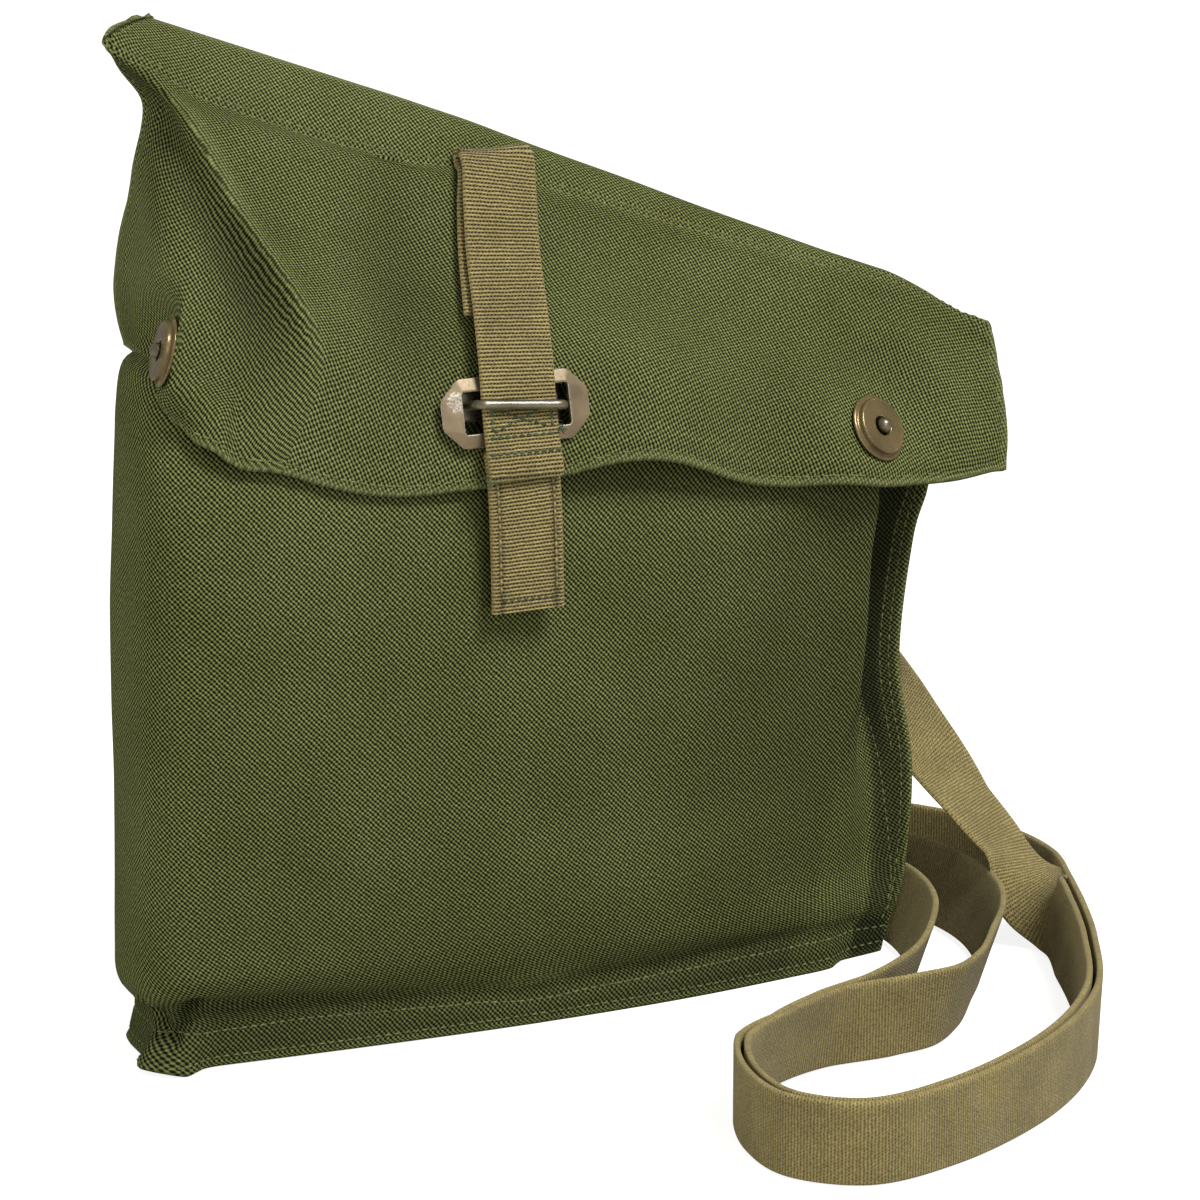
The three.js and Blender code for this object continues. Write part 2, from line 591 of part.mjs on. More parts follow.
// Section of a snap's stud: a foot against the front panel, a post and a ball that stands proud
function studProfile() {
  const { ball, proud, post, foot, footThick, reach } = STUD;
  const centre = CAP.height + proud;
  const neck = -Math.acos(2 * post / ball);
  const round = steps(6).map((share) => {
    const turn = lerp(neck, Math.PI / 2, share);
    return [share < 1 ? Math.cos(turn) * ball / 2 : 0, centre + Math.sin(turn) * ball / 2];
  });
  const points = [[0, -reach], [foot, -reach], [foot, footThick - reach], [post, footThick - reach]];
  return points.concat(round).map(([r, z]) => new THREE.Vector2(r, z));
}

for (const [side, frame] of [['left', leftSnap], ['right', rightSnap]]) {
  const cap = new THREE.LatheGeometry(capProfile(), CAP_SIDES).rotateX(Math.PI / 2);
  const stud = new THREE.LatheGeometry(studProfile(), STUD_SIDES).rotateX(Math.PI / 2);
  place(addPiece(`snap_socket_${side}`, cap, LACQUER, LACQUER_ROUGHNESS, LACQUER_METAL), frame, SNAP_LIFT);
  place(addPiece(`snap_stud_${side}`, stud, NICKEL, NICKEL_ROUGHNESS, NICKEL_METAL), frame, 0);
}

// Flat webbing of a width and thickness along stations, each with its centre and its way across
function webbing(stations, width, thickness) {
  const positions = [];
  const index = [];
  const last = stations.length - 1;
  stations.forEach(({ centre, across }, i) => {
    const ahead = stations[Math.min(i + 1, last)].centre.clone().sub(stations[Math.max(i - 1, 0)].centre);
    const out = ahead.cross(across).normalize();
    for (const [w, t] of [[-1, -1], [1, -1], [1, 1], [-1, 1]]) {
      const corner = centre.clone().addScaledVector(across, w * width / 2);
      corner.addScaledVector(out, t * thickness / 2);
      positions.push(corner.x, corner.y, corner.z);
    }
  });
  for (let i = 0; i < last; i += 1) {
    for (let k = 0; k < 4; k += 1) {
      const [a, b] = [4 * i + k, 4 * i + (k + 1) % 4];
      index.push(a, b + 4, a + 4, a, b, b + 4);
    }
  }
  const end = 4 * last;
  index.push(0, 2, 1, 0, 3, 2, end, end + 1, end + 2, end, end + 2, end + 3);
  const geometry = new THREE.BufferGeometry();
  geometry.setAttribute('position', new THREE.Float32BufferAttribute(positions, 3));
  geometry.setIndex(index);
  return geometry;
}

// Stations on the flap; below the hem they hang straight down from its foot
function stationsOnFlap(route, count) {
  const frames = route.map(({ z, off, side }) => {
    const x = CLOSURE.x + side;
    const foot = flapPoint(flapAcross(x, 1), 1).z + HEM_MARGIN;
    const { point, out, right } = faceFrame(x, Math.max(z, foot));
    point.addScaledVector(out, off).z += Math.min(z - foot, 0);
    return { point, right: right.lerp(closure.right, STRAP_STIFFNESS).normalize() };
  });
  const curve = new THREE.CatmullRomCurve3(frames.map(({ point }) => point), false, 'centripetal');
  return steps(count).map((share) => {
    const place = curve.getUtoTmapping(share) * (frames.length - 1);
    const [frame, next] = [frames[Math.floor(place)], frames[Math.ceil(place)]];
    const across = frame.right.clone().lerp(next.right, place % 1).normalize();
    return { centre: curve.getPointAt(share), across };
  });
}

const closing = stationsOnFlap(CLOSING_ROUTE, CLOSING_STEPS);
addPiece('closing_strap', webbing(closing, CLOSING_WIDTH, WEBBING), TAN, CLOTH_ROUGHNESS, 0);
const tab = stationsOnFlap(TAB_ROUTE, TAB_STEPS);
addPiece('pull_tab', webbing(tab, TAB_WIDTH, TAB_THICKNESS), TAN, CLOTH_ROUGHNESS, 0);

// One layer of the doubled run: the shared route moved half the layers' spacing to a side
function layer(side) {
  return DOUBLED.map((row, i) => {
    const before = DOUBLED[Math.max(i - 1, 0)];
    const after = DOUBLED[Math.min(i + 1, DOUBLED.length - 1)];
    const ahead = new THREE.Vector2(after.x - before.x, after.y - before.y).setLength(DOUBLED_GAP / 2);
    return { ...row, x: row.x + ahead.y * side, y: row.y - ahead.x * side };
  });
}

function shoulderStations() {
  const bight = [...NEAR_RETURN, ...FAR_RETURN].map((row) => ({ ...row, tip: LOOP_TIP }));
  const route = [...RISE, ...layer(1), ...bight, ...layer(-1).reverse(), ...TAIL];
  const points = route.map(({ x, y, z }) => new THREE.Vector3(x, y, z ?? ON_FLOOR));
  const curve = new THREE.CatmullRomCurve3(points, false, 'centripetal');
  return steps(STRAP_STEPS).map((share) => {
    const tangent = curve.getTangentAt(share);
    const centre = curve.getPointAt(share);
    centre.z = Math.max(centre.z, ON_FLOOR);
    const place = curve.getUtoTmapping(share) * (route.length - 1);
    const [row, next] = [route[Math.floor(place)], route[Math.ceil(place)]];
    const back = lerp(RISE_LEAN[Math.floor(place)] ?? 0, RISE_LEAN[Math.ceil(place)] ?? 0, place % 1);
    const across = new THREE.Vector3(lerp(row.tip ?? 0, next.tip ?? 0, place % 1), back, 1);
    across.addScaledVector(tangent, -across.dot(tangent)).normalize();
    return { centre, across };
  });
}

addPiece('shoulder_strap', webbing(shoulderStations(), WEBBING_WIDTH, WEBBING), TAN, CLOTH_ROUGHNESS, 0);

export default bag;
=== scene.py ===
import functools

import bpy
import numpy as np
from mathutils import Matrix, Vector


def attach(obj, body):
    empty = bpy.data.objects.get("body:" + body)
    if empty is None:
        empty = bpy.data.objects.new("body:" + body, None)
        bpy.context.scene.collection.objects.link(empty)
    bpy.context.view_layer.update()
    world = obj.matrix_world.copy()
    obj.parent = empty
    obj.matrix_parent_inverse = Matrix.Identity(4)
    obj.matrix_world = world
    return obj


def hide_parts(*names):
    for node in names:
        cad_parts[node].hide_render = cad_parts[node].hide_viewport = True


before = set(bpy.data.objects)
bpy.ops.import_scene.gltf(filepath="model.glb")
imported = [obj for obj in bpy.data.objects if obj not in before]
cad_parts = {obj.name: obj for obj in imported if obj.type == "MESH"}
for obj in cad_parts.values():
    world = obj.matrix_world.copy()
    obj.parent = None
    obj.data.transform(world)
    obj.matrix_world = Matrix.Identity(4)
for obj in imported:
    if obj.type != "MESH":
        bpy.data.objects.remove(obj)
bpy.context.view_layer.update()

bl_info = {
    "name": "Canvas gas mask bag",
    "version": (1, 0, 0),
    "blender": (4, 5, 0),
    "location": "3D View > Sidebar > Bag",
    "description": "Sews the canvas, webbing and fittings of a gas mask bag around its packed frame",
    "category": "Object",
}

# Shapes are worked out in millimetres and put into the meshes in metres.
MM = 0.001


def table(columns, *rows):
    """A short table as one array for each named column."""
    return dict(zip(columns.split(), np.array(rows, float).T))


# The canvas body, a row for each level from the foot to the rim. Left is the rounded side, edge the
# bulging right corner with the power by which the front falls back to it, open how far the gusset behind
# it is tucked in, and flange the sewn right edge, whose root and tip bend forwards at the foot.
BODY_LEVELS = table(
    "z_left z_right left round front fall edge_x edge_y open flange root_y tip_y",
    (0, 0, -120.5, 10, -21.2, 3, 104, -1.5, 0, 124.5, 4, 8.5),
    (12.5, 11, -118.6, 16, -20.6, 3, 105, 1, 0, 130, 8, 12),
    (18, 15, -122.6, 21, -21.5, 3, 106, 2, 0, 132.5, 9.5, 13.5),
    (34, 30, -125.6, 25, -29, 3, 109, 4, 0, 137.2, 15, 17.5),
    (70, 58, -126, 27, -34.5, 2.3, 114.5, 5, 0.1, 139, 19.2, 19.2),
    (112, 92, -125.3, 27, -36, 2.2, 115, 0, 0.75, 134.4, 19.2, 19.2),
    (160, 130, -124, 27, -36, 2.2, 116, -4, 1, 138.5, 19.2, 19.2),
    (181, 146, -123.4, 30, -33, 2.2, 116.5, -6, 1, 143, 19.2, 19.2),
    (193, 155, -122.8, 36, -28, 2.2, 116, -5.5, 1, 144.5, 19.2, 19.2),
    (205, 164.5, -120.4, 35, -25.6, 2.2, 115.6, -4, 1, 145, 19.2, 19.2),
    (212, 168.5, -113.6, 33, -23.6, 2.2, 115.4, -3, 1, 145, 19.2, 19.2),
    (226, 176, -111, 29, -19, 2.2, 115.3, 0, 0.95, 143.7, 19.2, 19.2),
    (276, 203, -104.5, 18, 1, 2.2, 115, 10, 0.8, 143, 19.2, 19.2),
)
BODY_RIM = len(BODY_LEVELS["left"]) - 1
LEFT_MARK, RIGHT_MARK = -100, 120
BACK = {"left": -104, "plane": 23.5, "top_drop": 14, "row": 4, "inset": 3.1, "bend": 96}
BACK_PLANE = 21.4
FLANGE_WIDTH = 14
GUSSET_TUCK = 10
GUSSET_FOLD = (0.5, 0.6)
LEFT_TURNS = np.radians([82, 55, 28, 0, -28, -55, -78])
FACE_SHARES = np.array([0.02, 0.25, 0.5, 0.75, 0.92])
ROLL_POWER = 3.2

# The flap, a row for each level from its sewn back edge over the crease (2) and the stitched brow (3)
# to the hem (7). Left of the ridge it turns round the side of the bag, and facet is how far it falls
# back between the ridge and that turn.
FLAP_LEVELS = table(
    "z_left z_right left left_y ridge front facet power right right_y lift",
    (270, 184, -104, 26.4, -92, 26.4, 0, 2, 150, 26.4, 0),
    (296, 208, -105, 26.2, -93, 26.2, 0, 2, 157, 25.6, 0),
    (305.2, 217.6, -107, 18, -95, 18, 0, 2, 160, 17, 0),
    (290.5, 215, -125, 3, -113, 0.5, 0, 2, 161, 14.5, 4),
    (281, 207, -109.4, 14, -103, -4, 2, 2.8, 162.5, 12, 0),
    (258, 194, -112.4, 18.5, -91, -13, 5.5, 4.5, 163, 8.5, 0),
    (224, 175, -117.6, 19.2, -70, -26, 1, 6.5, 163, 4.5, 3),
    (183, 155, -115, 19, -86, -36, 0, 6, 161.5, 0.5, 25),
)
CREASE_LEVEL, BROW_LEVEL, HEM_LEVEL = 2, 3, 7
LEFT_SHARE = 0.25
FLAP_POWER = 2.1
LIFT_POWER = 2
RIGHT_DROOP = {"start": 125, "end": 166, "drop": 9}
EAR_FULLNESS = {"level": 3.6, "out": 3.2, "width": 0.3}
CREASE_BOW = {"x": -10, "rise": 2.4, "width": 80}
HEM_WAVES = table(
    "x rise out width",
    (-107, 6, 0, 7), (-90, 3, 0, 14), (-52, -3.6, 0, 24), (28, 9, 3, 27), (48, 1.2, 0, 14),
    (111, -2, 0, 14), (160, 3, 0, 14),
)
BROW_SAG = table(
    "x rise",
    (-125, 3), (-118, 2.9), (-111, 2.1), (-96, -2.5), (-84, -3.4), (-60, -5.4), (-32, -5.4), (-19, -3.5),
    (8, -1.4), (95, -0.6), (152, 2),
)
BROW_WIDTH = 0.6

# Soft hollows and swellings of the flap, in x and height, with their half widths and depth.
FLAP_DENTS = table(
    "x z wide high depth",
    (-40, 226, 15, 30, 4), (-88, 228, 13, 24, 2.2), (40, 196, 26, 22, -1.2), (75, 185, 18, 26, 1),
    (24, 236, 24, 12, 0.8),
)

# Places on the flap: the fastening in the middle and the two snaps.
CLOSURE = {"x": -11.6, "z": 193.5}
RIGHT_SNAP = {"x": 113.5, "z": 171.5, "facing": (0.43, -0.76, 0.49), "flat": 10, "blend": 34}
LEFT_SNAP = {"across": 0.094, "down": 0.9035, "facing": (-0.955, 0.158, 0.254), "flat": 12, "blend": 24}
# Half sizes of the slot cut behind the plate, to the right, up and out, and the radius of a snap's hole.
SLOT_HOLE = (18.4, 7.4, 8)
SNAP_HOLE = 3.8

# Fittings. The eyelet plate's section goes from its outer edge (share 0) to the slot (1), with a wear
# that bares the steel at its edges; a cap's section is radius, height and wear, and the cap's pale band
# on its rolled rim is partly rubbed lacquer and partly a painted highlight.
PLATE = {"width": 47, "height": 20.5, "clip": 6, "ease": 1.3}
SLOT = {"width": 34, "height": 12.5, "clip": 0.6, "ease": 0.3}
PLATE_LIFT = 1.8
PLATE_SECTION = table(
    "share high wear",
    (0.05, 0, 0), (0, 0.12, 0.5), (-0.01, 0.3, 0.85), (0.01, 0.48, 0.8), (0.05, 0.56, 0.3), (0.1, 0.62, 0),
    (0.3, 0.86, 0), (0.55, 1.16, 0), (0.8, 1.44, 0), (0.87, 1.52, 0.1), (0.94, 1.54, 0.45), (0.98, 1.48, 0.9),
    (1, 1.36, 0.8), (1.01, 1, 0.1), (1.01, 0.5, 0), (1, 0.1, 0), (0.96, 0, 0),
)
WORN_PATCH = {"right": -18.8, "up": 3.4, "wide": 4.2, "high": 4.6}
STAPLE = {"half": 13.75, "rise": 7.9, "bend": 2.6, "reach": 2.8, "foot": 16.75, "foot_width": 9,
          "foot_thick": 1, "lean": -5.5, "up": 0.9}
CAP_SECTION = table(
    "radius high wear",
    (3.1, 0, 0), (10.1, 0, 0), (10.5, 0.25, 0.35), (10.5, 0.55, 0.5), (10.3, 0.8, 0.4), (9.9, 0.95, 0.1),
    (9.3, 0.98, 0), (9.05, 1.1, 0), (8.95, 1.5, 0), (8.95, 2.1, 0), (8.9, 2.5, 0.1), (8.7, 2.74, 0.35),
    (8.35, 2.84, 0.5), (8, 2.8, 0.3), (7.7, 2.68, 0.1), (7, 2.6, 0), (5, 2.62, 0), (3.9, 2.7, 0),
    (3.5, 2.68, 0.4), (3.2, 2.5, 0.6), (3.1, 2.1, 0), (3.1, 1, 0),
)
CAP_DIMPLES = table(
    "right up reach depth",
    (0.6, -6.2, 0.5, 0.45), (1.7, -6, 0.4, 0.4), (-2.2, 5.6, 0.5, 0.3),
)
CAP_TOP, CAP_LIFT = 2.3, 0.8
STUD = {"ball": 2.3, "centre": 3.7, "post": 1.7, "foot": 3.6, "foot_thick": 0.8, "reach": 3.2}

# Webbing of the closing strap and its pull tab: height, distance off the flap and sideways shift.
CLOSING_ROUTE = table(
    "z off side",
    (219, 2.1, -0.6), (236, 2.1, 0.8), (249, 2.5, 2.6), (256.5, 3, 4), (260, 2.7, 4.5),
    (261.3, 4.1, 4.7), (260.2, 5.5, 4.7), (257, 5.8, 4.2), (249, 5.5, 3), (236, 5, 1.8),
    (219, 5.1, 1), (206, 5.1, 0.4), (195, 5, 0), (184, 5.3, 0), (176.4, 6.1, 0.1), (174.5, 5.7, 0.1),
    (174, 5.2, 0.1),
)
TAB_ROUTE = table(
    "z off side",
    (182, 2.3, 0.2), (174, 2.6, 0.4), (164, 2.9, 0.8), (149, 3.2, 1.1), (133.8, 3.4, 1.3),
)
# How far the straps' width is turned from the flap's own slope to that at the fastening.
STRIP_SQUARE = 0.6

# The webbings' weave: pitch of the ribs, where the holes between them start, and the dirt all over.
SHOULDER_WEAVE = {"rib": 1.0, "hole": -0.25, "dirt": 0.25}
CLOSING_WEAVE = {"rib": 1.12, "hole": 0.25, "dirt": 0.15}
RIB_HEIGHT = 0.05

# Sewing on the webbing. A line gives the side and the distance from the strap's end at its start and end;
# a loose end gives both and its heading; the tab's groove is its inset from the edge and its depth.
FASTENING_LINES = (
    (-9.4, 14, -9.4, 21), (9.6, 14, 9.6, 21), (-9.4, 21, 9.6, 21), (-9.4, 21, 9.6, 14),
    (-9.4, 14, 9.6, 21), (-10.8, 12.6, 11.2, 12.3), (-11.4, 7.6, 11.6, 7.2),
)
LOOSE_ENDS = ((11.6, 13.4, (0.8, -0.6, 0)), (-11.6, -0.4, (-0.5, -0.6, 0.2)))
TUFT = {"threads": 9, "length": 2.4, "knots": 9, "stray": 0.35, "radius": 0.2, "seed": 21}
TAB_GROOVE = (2.7, 0.4)
TAB_SEAM_TOP, TAB_HEM = 44, 3.6
FASTENING_STITCH = {"pitch": 2.3, "length": 1.9, "thick": 0.8}
TAB_SIDE_STITCH = {"pitch": 2.4, "length": 2, "thick": 0.8}
TAB_HEM_STITCH = {"pitch": 2.2, "length": 1.7, "thick": 0.7}
STITCH_RAISE = {"strap": 0.14, "tab": -0.1, "hem": 0.15}

# The shoulder strap's route: its rise from the right sewn end, the doubled run on the floor, the two
# returns of the loops, and the tail behind the bag. A knot is x, y, z and tip, by which the band's upper
# edge leans to the right for each mm up; the returns lean by LOOP_TIP. RISE_LEAN leans the first knots
# back in the same way, and LAYER_PITCH is the distance between the doubled run's layers.
BEHIND = 25.3
ON_FLOOR = 12.8
STRAP_RISE = (
    (104, BEHIND, 111, 1), (126, BEHIND + 1, 86, 1), (140, 31, 70.5, 0.9), (150.8, 29.6, 56.5, 0.7),
    (159.2, 20.5, 42, 0.6), (167.3, 10, 29, 0.4), (171, -1, 18.5, 0.3),
)
STRAP_DOUBLED = (
    (174.5, -13, ON_FLOOR, 0.25), (167, -39, ON_FLOOR, 0.2), (156, -72, ON_FLOOR, 0.12),
    (136.5, -116, ON_FLOOR, 0.04), (106, -152, ON_FLOOR, 0), (62, -181, ON_FLOOR, 0),
    (33, -188, ON_FLOOR, 0), (16, -174, ON_FLOOR, 0), (14, -150, ON_FLOOR, 0),
    (24, -119.5, ON_FLOOR, 0),
)
NEAR_RETURN = (
    (44, -101.5), (65.5, -90), (88.5, -87), (105, -82.5), (118, -70.5), (131.7, -50), (143.5, -31),
    (151.5, -12), (155, 10), (152.5, 33), (144, 56), (133, 74),
)
FAR_RETURN = (
    (123, 82), (119.5, 71), (124, 53), (130.5, 34), (133.5, 14), (129, -12), (117.7, -36),
    (100.5, -61), (78, -80), (55.5, -91.5), (37.5, -103.5),
)
STRAP_TAIL = (
    (183.5, 12, ON_FLOOR, 0.15), (183.5, 36, ON_FLOOR, 0), (176, 58, ON_FLOOR, 0),
    (160, 80, ON_FLOOR, 0), (139, 97, ON_FLOOR, 0), (110, 107, ON_FLOOR, 0),
    (75, 106, ON_FLOOR, 0), (36, 86, ON_FLOOR, 0), (-2, 67, ON_FLOOR, 0), (-32, 52, 14.8, 0),
    (-55, 42, 24, 0.5), (-73, 33.5, 46, 1.5), (-86, 26.1, 76, 2.2), (-98, BEHIND, 104, 2.2),
)
LAYER_PITCH = 3.1
LOOP_TIP = 0.38
RISE_LEAN = (0, 0, 0.4, 0.85, 1.5, 1.7, 1, 0.3, 0)


def to_linear(colour):
    """An sRGB hex colour as linear RGBA: a channel c above 0.04045 becomes ((c + 0.055) / 1.055) to the
    power 2.4, and c / 12.92 below that."""
    channel = np.array([int(colour[i:i + 2], 16) for i in (1, 3, 5)]) / 255
    linear = np.where(channel > 0.04045, ((channel + 0.055) / 1.055) ** 2.4, channel / 12.92)
    return (*linear.tolist(), 1.0)


def lerp(start, end, share):
    """The value that share of the way from start to end."""
    return start + (end - start) * share


def smoothstep(value, start, end):
    """0 up to start and 1 from end on, and between them three squares less two cubes of the share."""
    share = np.clip((value - start) / (end - start), 0, 1)
    return share * share * (3 - 2 * share)


def swell(value, centre, width):
    """A round bump of height 1: e to the minus square of the distance over the width."""
    return np.exp(-(((value - centre) / width) ** 2))


def unit(vectors):
    """Vectors brought to length 1."""
    return vectors / np.maximum(np.linalg.norm(vectors, axis=-1, keepdims=True), 1e-9)


def rumple(x, y, cell, seed):
    """Smooth random waves from -1 to 1 over a plane: seeded numbers on a square lattice of that cell,
    blended by a cubic step."""
    size = 64
    lattice = np.random.default_rng(seed).uniform(-1, 1, (size, size))
    column, row = np.floor(x / cell).astype(int), np.floor(y / cell).astype(int)
    right, down = smoothstep(x / cell - column, 0, 1), smoothstep(y / cell - row, 0, 1)
    columns, rows = (column % size, (column + 1) % size), (row % size, (row + 1) % size)
    near, far = (lerp(lattice[columns[0], line], lattice[columns[1], line], right) for line in rows)
    return lerp(near, far, down)


def rumples(waves, x, y):
    """The sum of several rumples, each with its height, cell and seed."""
    return sum(height * rumple(x, y, cell, seed) for height, cell, seed in waves)


def cubic(p1, p2, slope1, slope2, share):
    """A cubic piece from p1 to p2 with those slopes at its ends."""
    a = 2 * p1 - 2 * p2 + slope1 + slope2
    b = -3 * p1 + 3 * p2 - 2 * slope1 - slope2
    return ((a * share + b) * share + slope1) * share + p1


def at_level(rows, level):
    """Every column of a table at fractional row numbers, by cubic pieces whose slope at a row is half the
    difference of its neighbours."""
    last = len(next(iter(rows.values()))) - 1
    first = np.clip(np.floor(level).astype(int), 0, last - 1)
    near = [np.clip(first + step, 0, last) for step in (-1, 0, 1, 2)]
    found = {}
    for name, column in rows.items():
        p0, p1, p2, p3 = (column[i] for i in near)
        found[name] = cubic(p1, p2, (p2 - p0) / 2, (p3 - p1) / 2, level - first)
    return found


def spline(points, places):
    """Points on a centripetal Catmull-Rom curve at places 0 to n - 1, for one curve (n, d) or a stack of
    them (m, n, d). The knots are a square root of the chord apart, and the ends are mirrored."""
    first = np.clip(np.floor(places).astype(int), 0, points.shape[-2] - 2)
    before = 2 * points[..., :1, :] - points[..., 1:2, :]
    after = 2 * points[..., -1:, :] - points[..., -2:-1, :]
    held = np.concatenate([before, points, after], -2)
    p0, p1, p2, p3 = (held[..., first + step, :] for step in range(4))
    gaps = [np.sqrt(np.linalg.norm(b - a, axis=-1, keepdims=True)) for a, b in ((p0, p1), (p1, p2), (p2, p3))]
    g0, g1, g2 = (np.maximum(gap, 1e-4) for gap in gaps)
    slope1 = ((p1 - p0) / g0 - (p2 - p0) / (g0 + g1) + (p2 - p1) / g1) * g1
    slope2 = ((p2 - p1) / g1 - (p3 - p1) / (g1 + g2) + (p3 - p2) / g2) * g1
    return cubic(p1, p2, slope1, slope2, (places - first)[:, None])


def lengths(points, axis=0):
    """Running length along a polyline or along one axis of a grid, from 0."""
    steps = np.linalg.norm(np.diff(points, axis=axis), axis=-1)
    start = np.zeros_like(np.take(steps, [0], axis=axis))
    return np.concatenate([start, np.cumsum(steps, axis=axis)], axis=axis)


def even_places(curve, last, spacing):
    """Places 0 to last whose points on a curve of one parameter stand that far apart."""
    fine = np.linspace(0, last, 4000)
    run = lengths(curve(fine))
    return np.interp(np.linspace(0, run[-1], int(run[-1] / spacing) + 1), run, fine)


def read_along(run, places, values):
    """Rows of values read at places along a running length."""
    return np.stack([np.interp(places, run, column) for column in values.T], -1)


def grid_normals(grid):
    """Unit normals of a grid: the slope along its columns crossed with the slope along its rows."""
    return unit(np.cross(np.gradient(grid, axis=1), np.gradient(grid, axis=0)))


def sample(grid, rows, columns):
    """A grid read between its points, at fractional rows and columns."""
    rows, columns = np.clip(rows, 0, grid.shape[0] - 1.001), np.clip(columns, 0, grid.shape[1] - 1.001)
    r, c = np.floor(rows).astype(int), np.floor(columns).astype(int)
    down, right = (rows - r)[..., None], (columns - c)[..., None]
    upper = lerp(grid[r, c], grid[r, c + 1], right)
    return lerp(upper, lerp(grid[r + 1, c], grid[r + 1, c + 1], right), down)


# Meshes


def cells(index, wrap_rows=False, wrap_columns=False):
    """Quads between the neighbours of an array of vertex numbers."""
    index = np.concatenate([index, index[:1]]) if wrap_rows else index
    index = np.concatenate([index, index[:, :1]], 1) if wrap_columns else index
    corners = (index[:-1, :-1], index[:-1, 1:], index[1:, 1:], index[1:, :-1])
    return np.stack(corners, -1).reshape(-1, 4)


def cloth_shell(grid, normals, thickness, cut=None):
    """Closed cloth under a grid of points: the grid, the same grid moved in along its normals, and a rim
    round every free edge that stands half the thickness proud at mid depth. Cells marked in cut are holes."""
    count = grid.shape[0] * grid.shape[1]
    points, out = grid.reshape(-1, 3), normals.reshape(-1, 3)
    quads = cells(np.arange(count).reshape(grid.shape[:2]))
    quads = quads if cut is None else quads[~cut.ravel()]
    start, end = quads.ravel(), np.roll(quads, -1, 1).ravel()
    free = ~np.isin(start * count + end, end * count + start)
    a, b = start[free], end[free]
    push = (points[a] + points[b]) / 2 - points[quads].mean(1)[np.repeat(np.arange(len(quads)), 4)[free]]
    away = np.zeros_like(points)
    np.add.at(away, a, push)
    np.add.at(away, b, push)
    edge = np.unique(a)
    rim = np.zeros(count, int)
    rim[edge] = 2 * count + np.arange(len(edge))
    rim_points = points[edge] - out[edge] * thickness / 2 + unit(away[edge]) * thickness / 2
    shell = np.concatenate([points, points - out * thickness, rim_points])
    walls = (np.stack([b, a, rim[a], rim[b]], 1), np.stack([rim[b], rim[a], a + count, b + count], 1))
    faces = np.concatenate([quads, quads[:, ::-1] + count, *walls])
    source = np.concatenate([np.arange(count), np.arange(count), edge])
    used, faces = np.unique(faces, return_inverse=True)
    return shell[used], faces.reshape(-1, 4), source[used]


def carried(centre, side):
    """Directions across a path and out of it, square to the path, from a rough sideways direction."""
    tangent = unit(np.gradient(centre, axis=0))
    across = unit(side - tangent * (tangent * side).sum(-1, keepdims=True))
    return across[:, None], np.cross(across, tangent)[:, None]


def closed_bar(rings):
    """Points and faces of a bar from the rings of points along it, with flat ends."""
    index = np.arange(rings.shape[0] * rings.shape[1]).reshape(rings.shape[:2])
    half = rings.shape[1] // 2
    cap = [cells(np.stack([index[i, :half], index[i, :half - 1:-1]])) for i in (0, -1)]
    return rings.reshape(-1, 3), np.concatenate([cells(index, wrap_columns=True), cap[0][:, ::-1], cap[1]])


def ribbon(centre, across, width, thickness, rib=None, groove=None):
    """Points, faces and UV of a closed band along a path: a flat section with round edges. Ribs of a pitch
    wave both faces along the length, and a groove (inset, depth) runs beside each edge."""
    across, out = carried(centre, across)
    edge = thickness / 2
    bend = np.radians([180, 150, 120])
    flat = np.linspace(edge - width / 2, width / 2 - edge, 14)
    side = np.concatenate([flat[0] + edge * np.cos(bend), flat, flat[-1] - edge * np.cos(bend[::-1])])
    rise = np.concatenate([edge * np.sin(bend), np.full(len(flat), edge), edge * np.sin(bend[::-1])])
    run = lengths(centre)[:, None]
    height = np.repeat(rise[None], len(run), 0)
    if groove:
        height = height - groove[1] * swell(np.abs(side), width / 2 - groove[0], 0.5)
    if rib:
        height = height + smoothstep(rise / edge, 0.6, 1) * RIB_HEIGHT * np.cos(run * 2 * np.pi / rib)
    middle = centre[:, None] + across * side[:, None]
    top, under = (middle + out * (sign * height)[..., None] for sign in (1, -1))
    points, faces = closed_bar(np.concatenate([top, under[:, ::-1]], 1))
    uv = np.stack(np.broadcast_arrays(np.concatenate([side, side[::-1]]), run), -1)
    return points, faces, uv.reshape(-1, 2)


def tube(centre, radius, side, sides):
    """Points and faces of a closed round bar along a path: a circle carried along it, kept square to a
    sideways direction."""
    across, out = carried(centre, side)
    angle = ((np.arange(sides) + 0.5) * 2 * np.pi / sides)[:, None]
    return closed_bar(centre[:, None] + radius * (across * np.cos(angle) + out * np.sin(angle)))


def turned(radius, height, sides=72):
    """A shape turned on a lathe: a profile of radius and height carried round the axis. Its ends either lie
    on the axis or close up into a ring. Gives local points and a list of quads and end triangles."""
    angle = np.arange(sides) * 2 * np.pi / sides
    solid = radius[0] == 0
    inner, level = (values[1:-1, None] if solid else values[:, None] for values in (radius, height))
    rings = np.stack(np.broadcast_arrays(inner * np.cos(angle), inner * np.sin(angle), level), -1)
    index = np.arange(len(inner) * sides).reshape(-1, sides)
    if not solid:
        return rings.reshape(-1, 3), [cells(index, wrap_rows=True, wrap_columns=True)]
    points = np.concatenate([rings.reshape(-1, 3), [[0, 0, height[0]], [0, 0, height[-1]]]])
    first, last = len(points) - 2, len(points) - 1
    low = np.stack([np.roll(index[0], -1), index[0], np.full(sides, first)], 1)
    high = np.stack([index[-1], np.roll(index[-1], -1), np.full(sides, last)], 1)
    return points, [cells(index, wrap_columns=True), np.concatenate([low, high])]


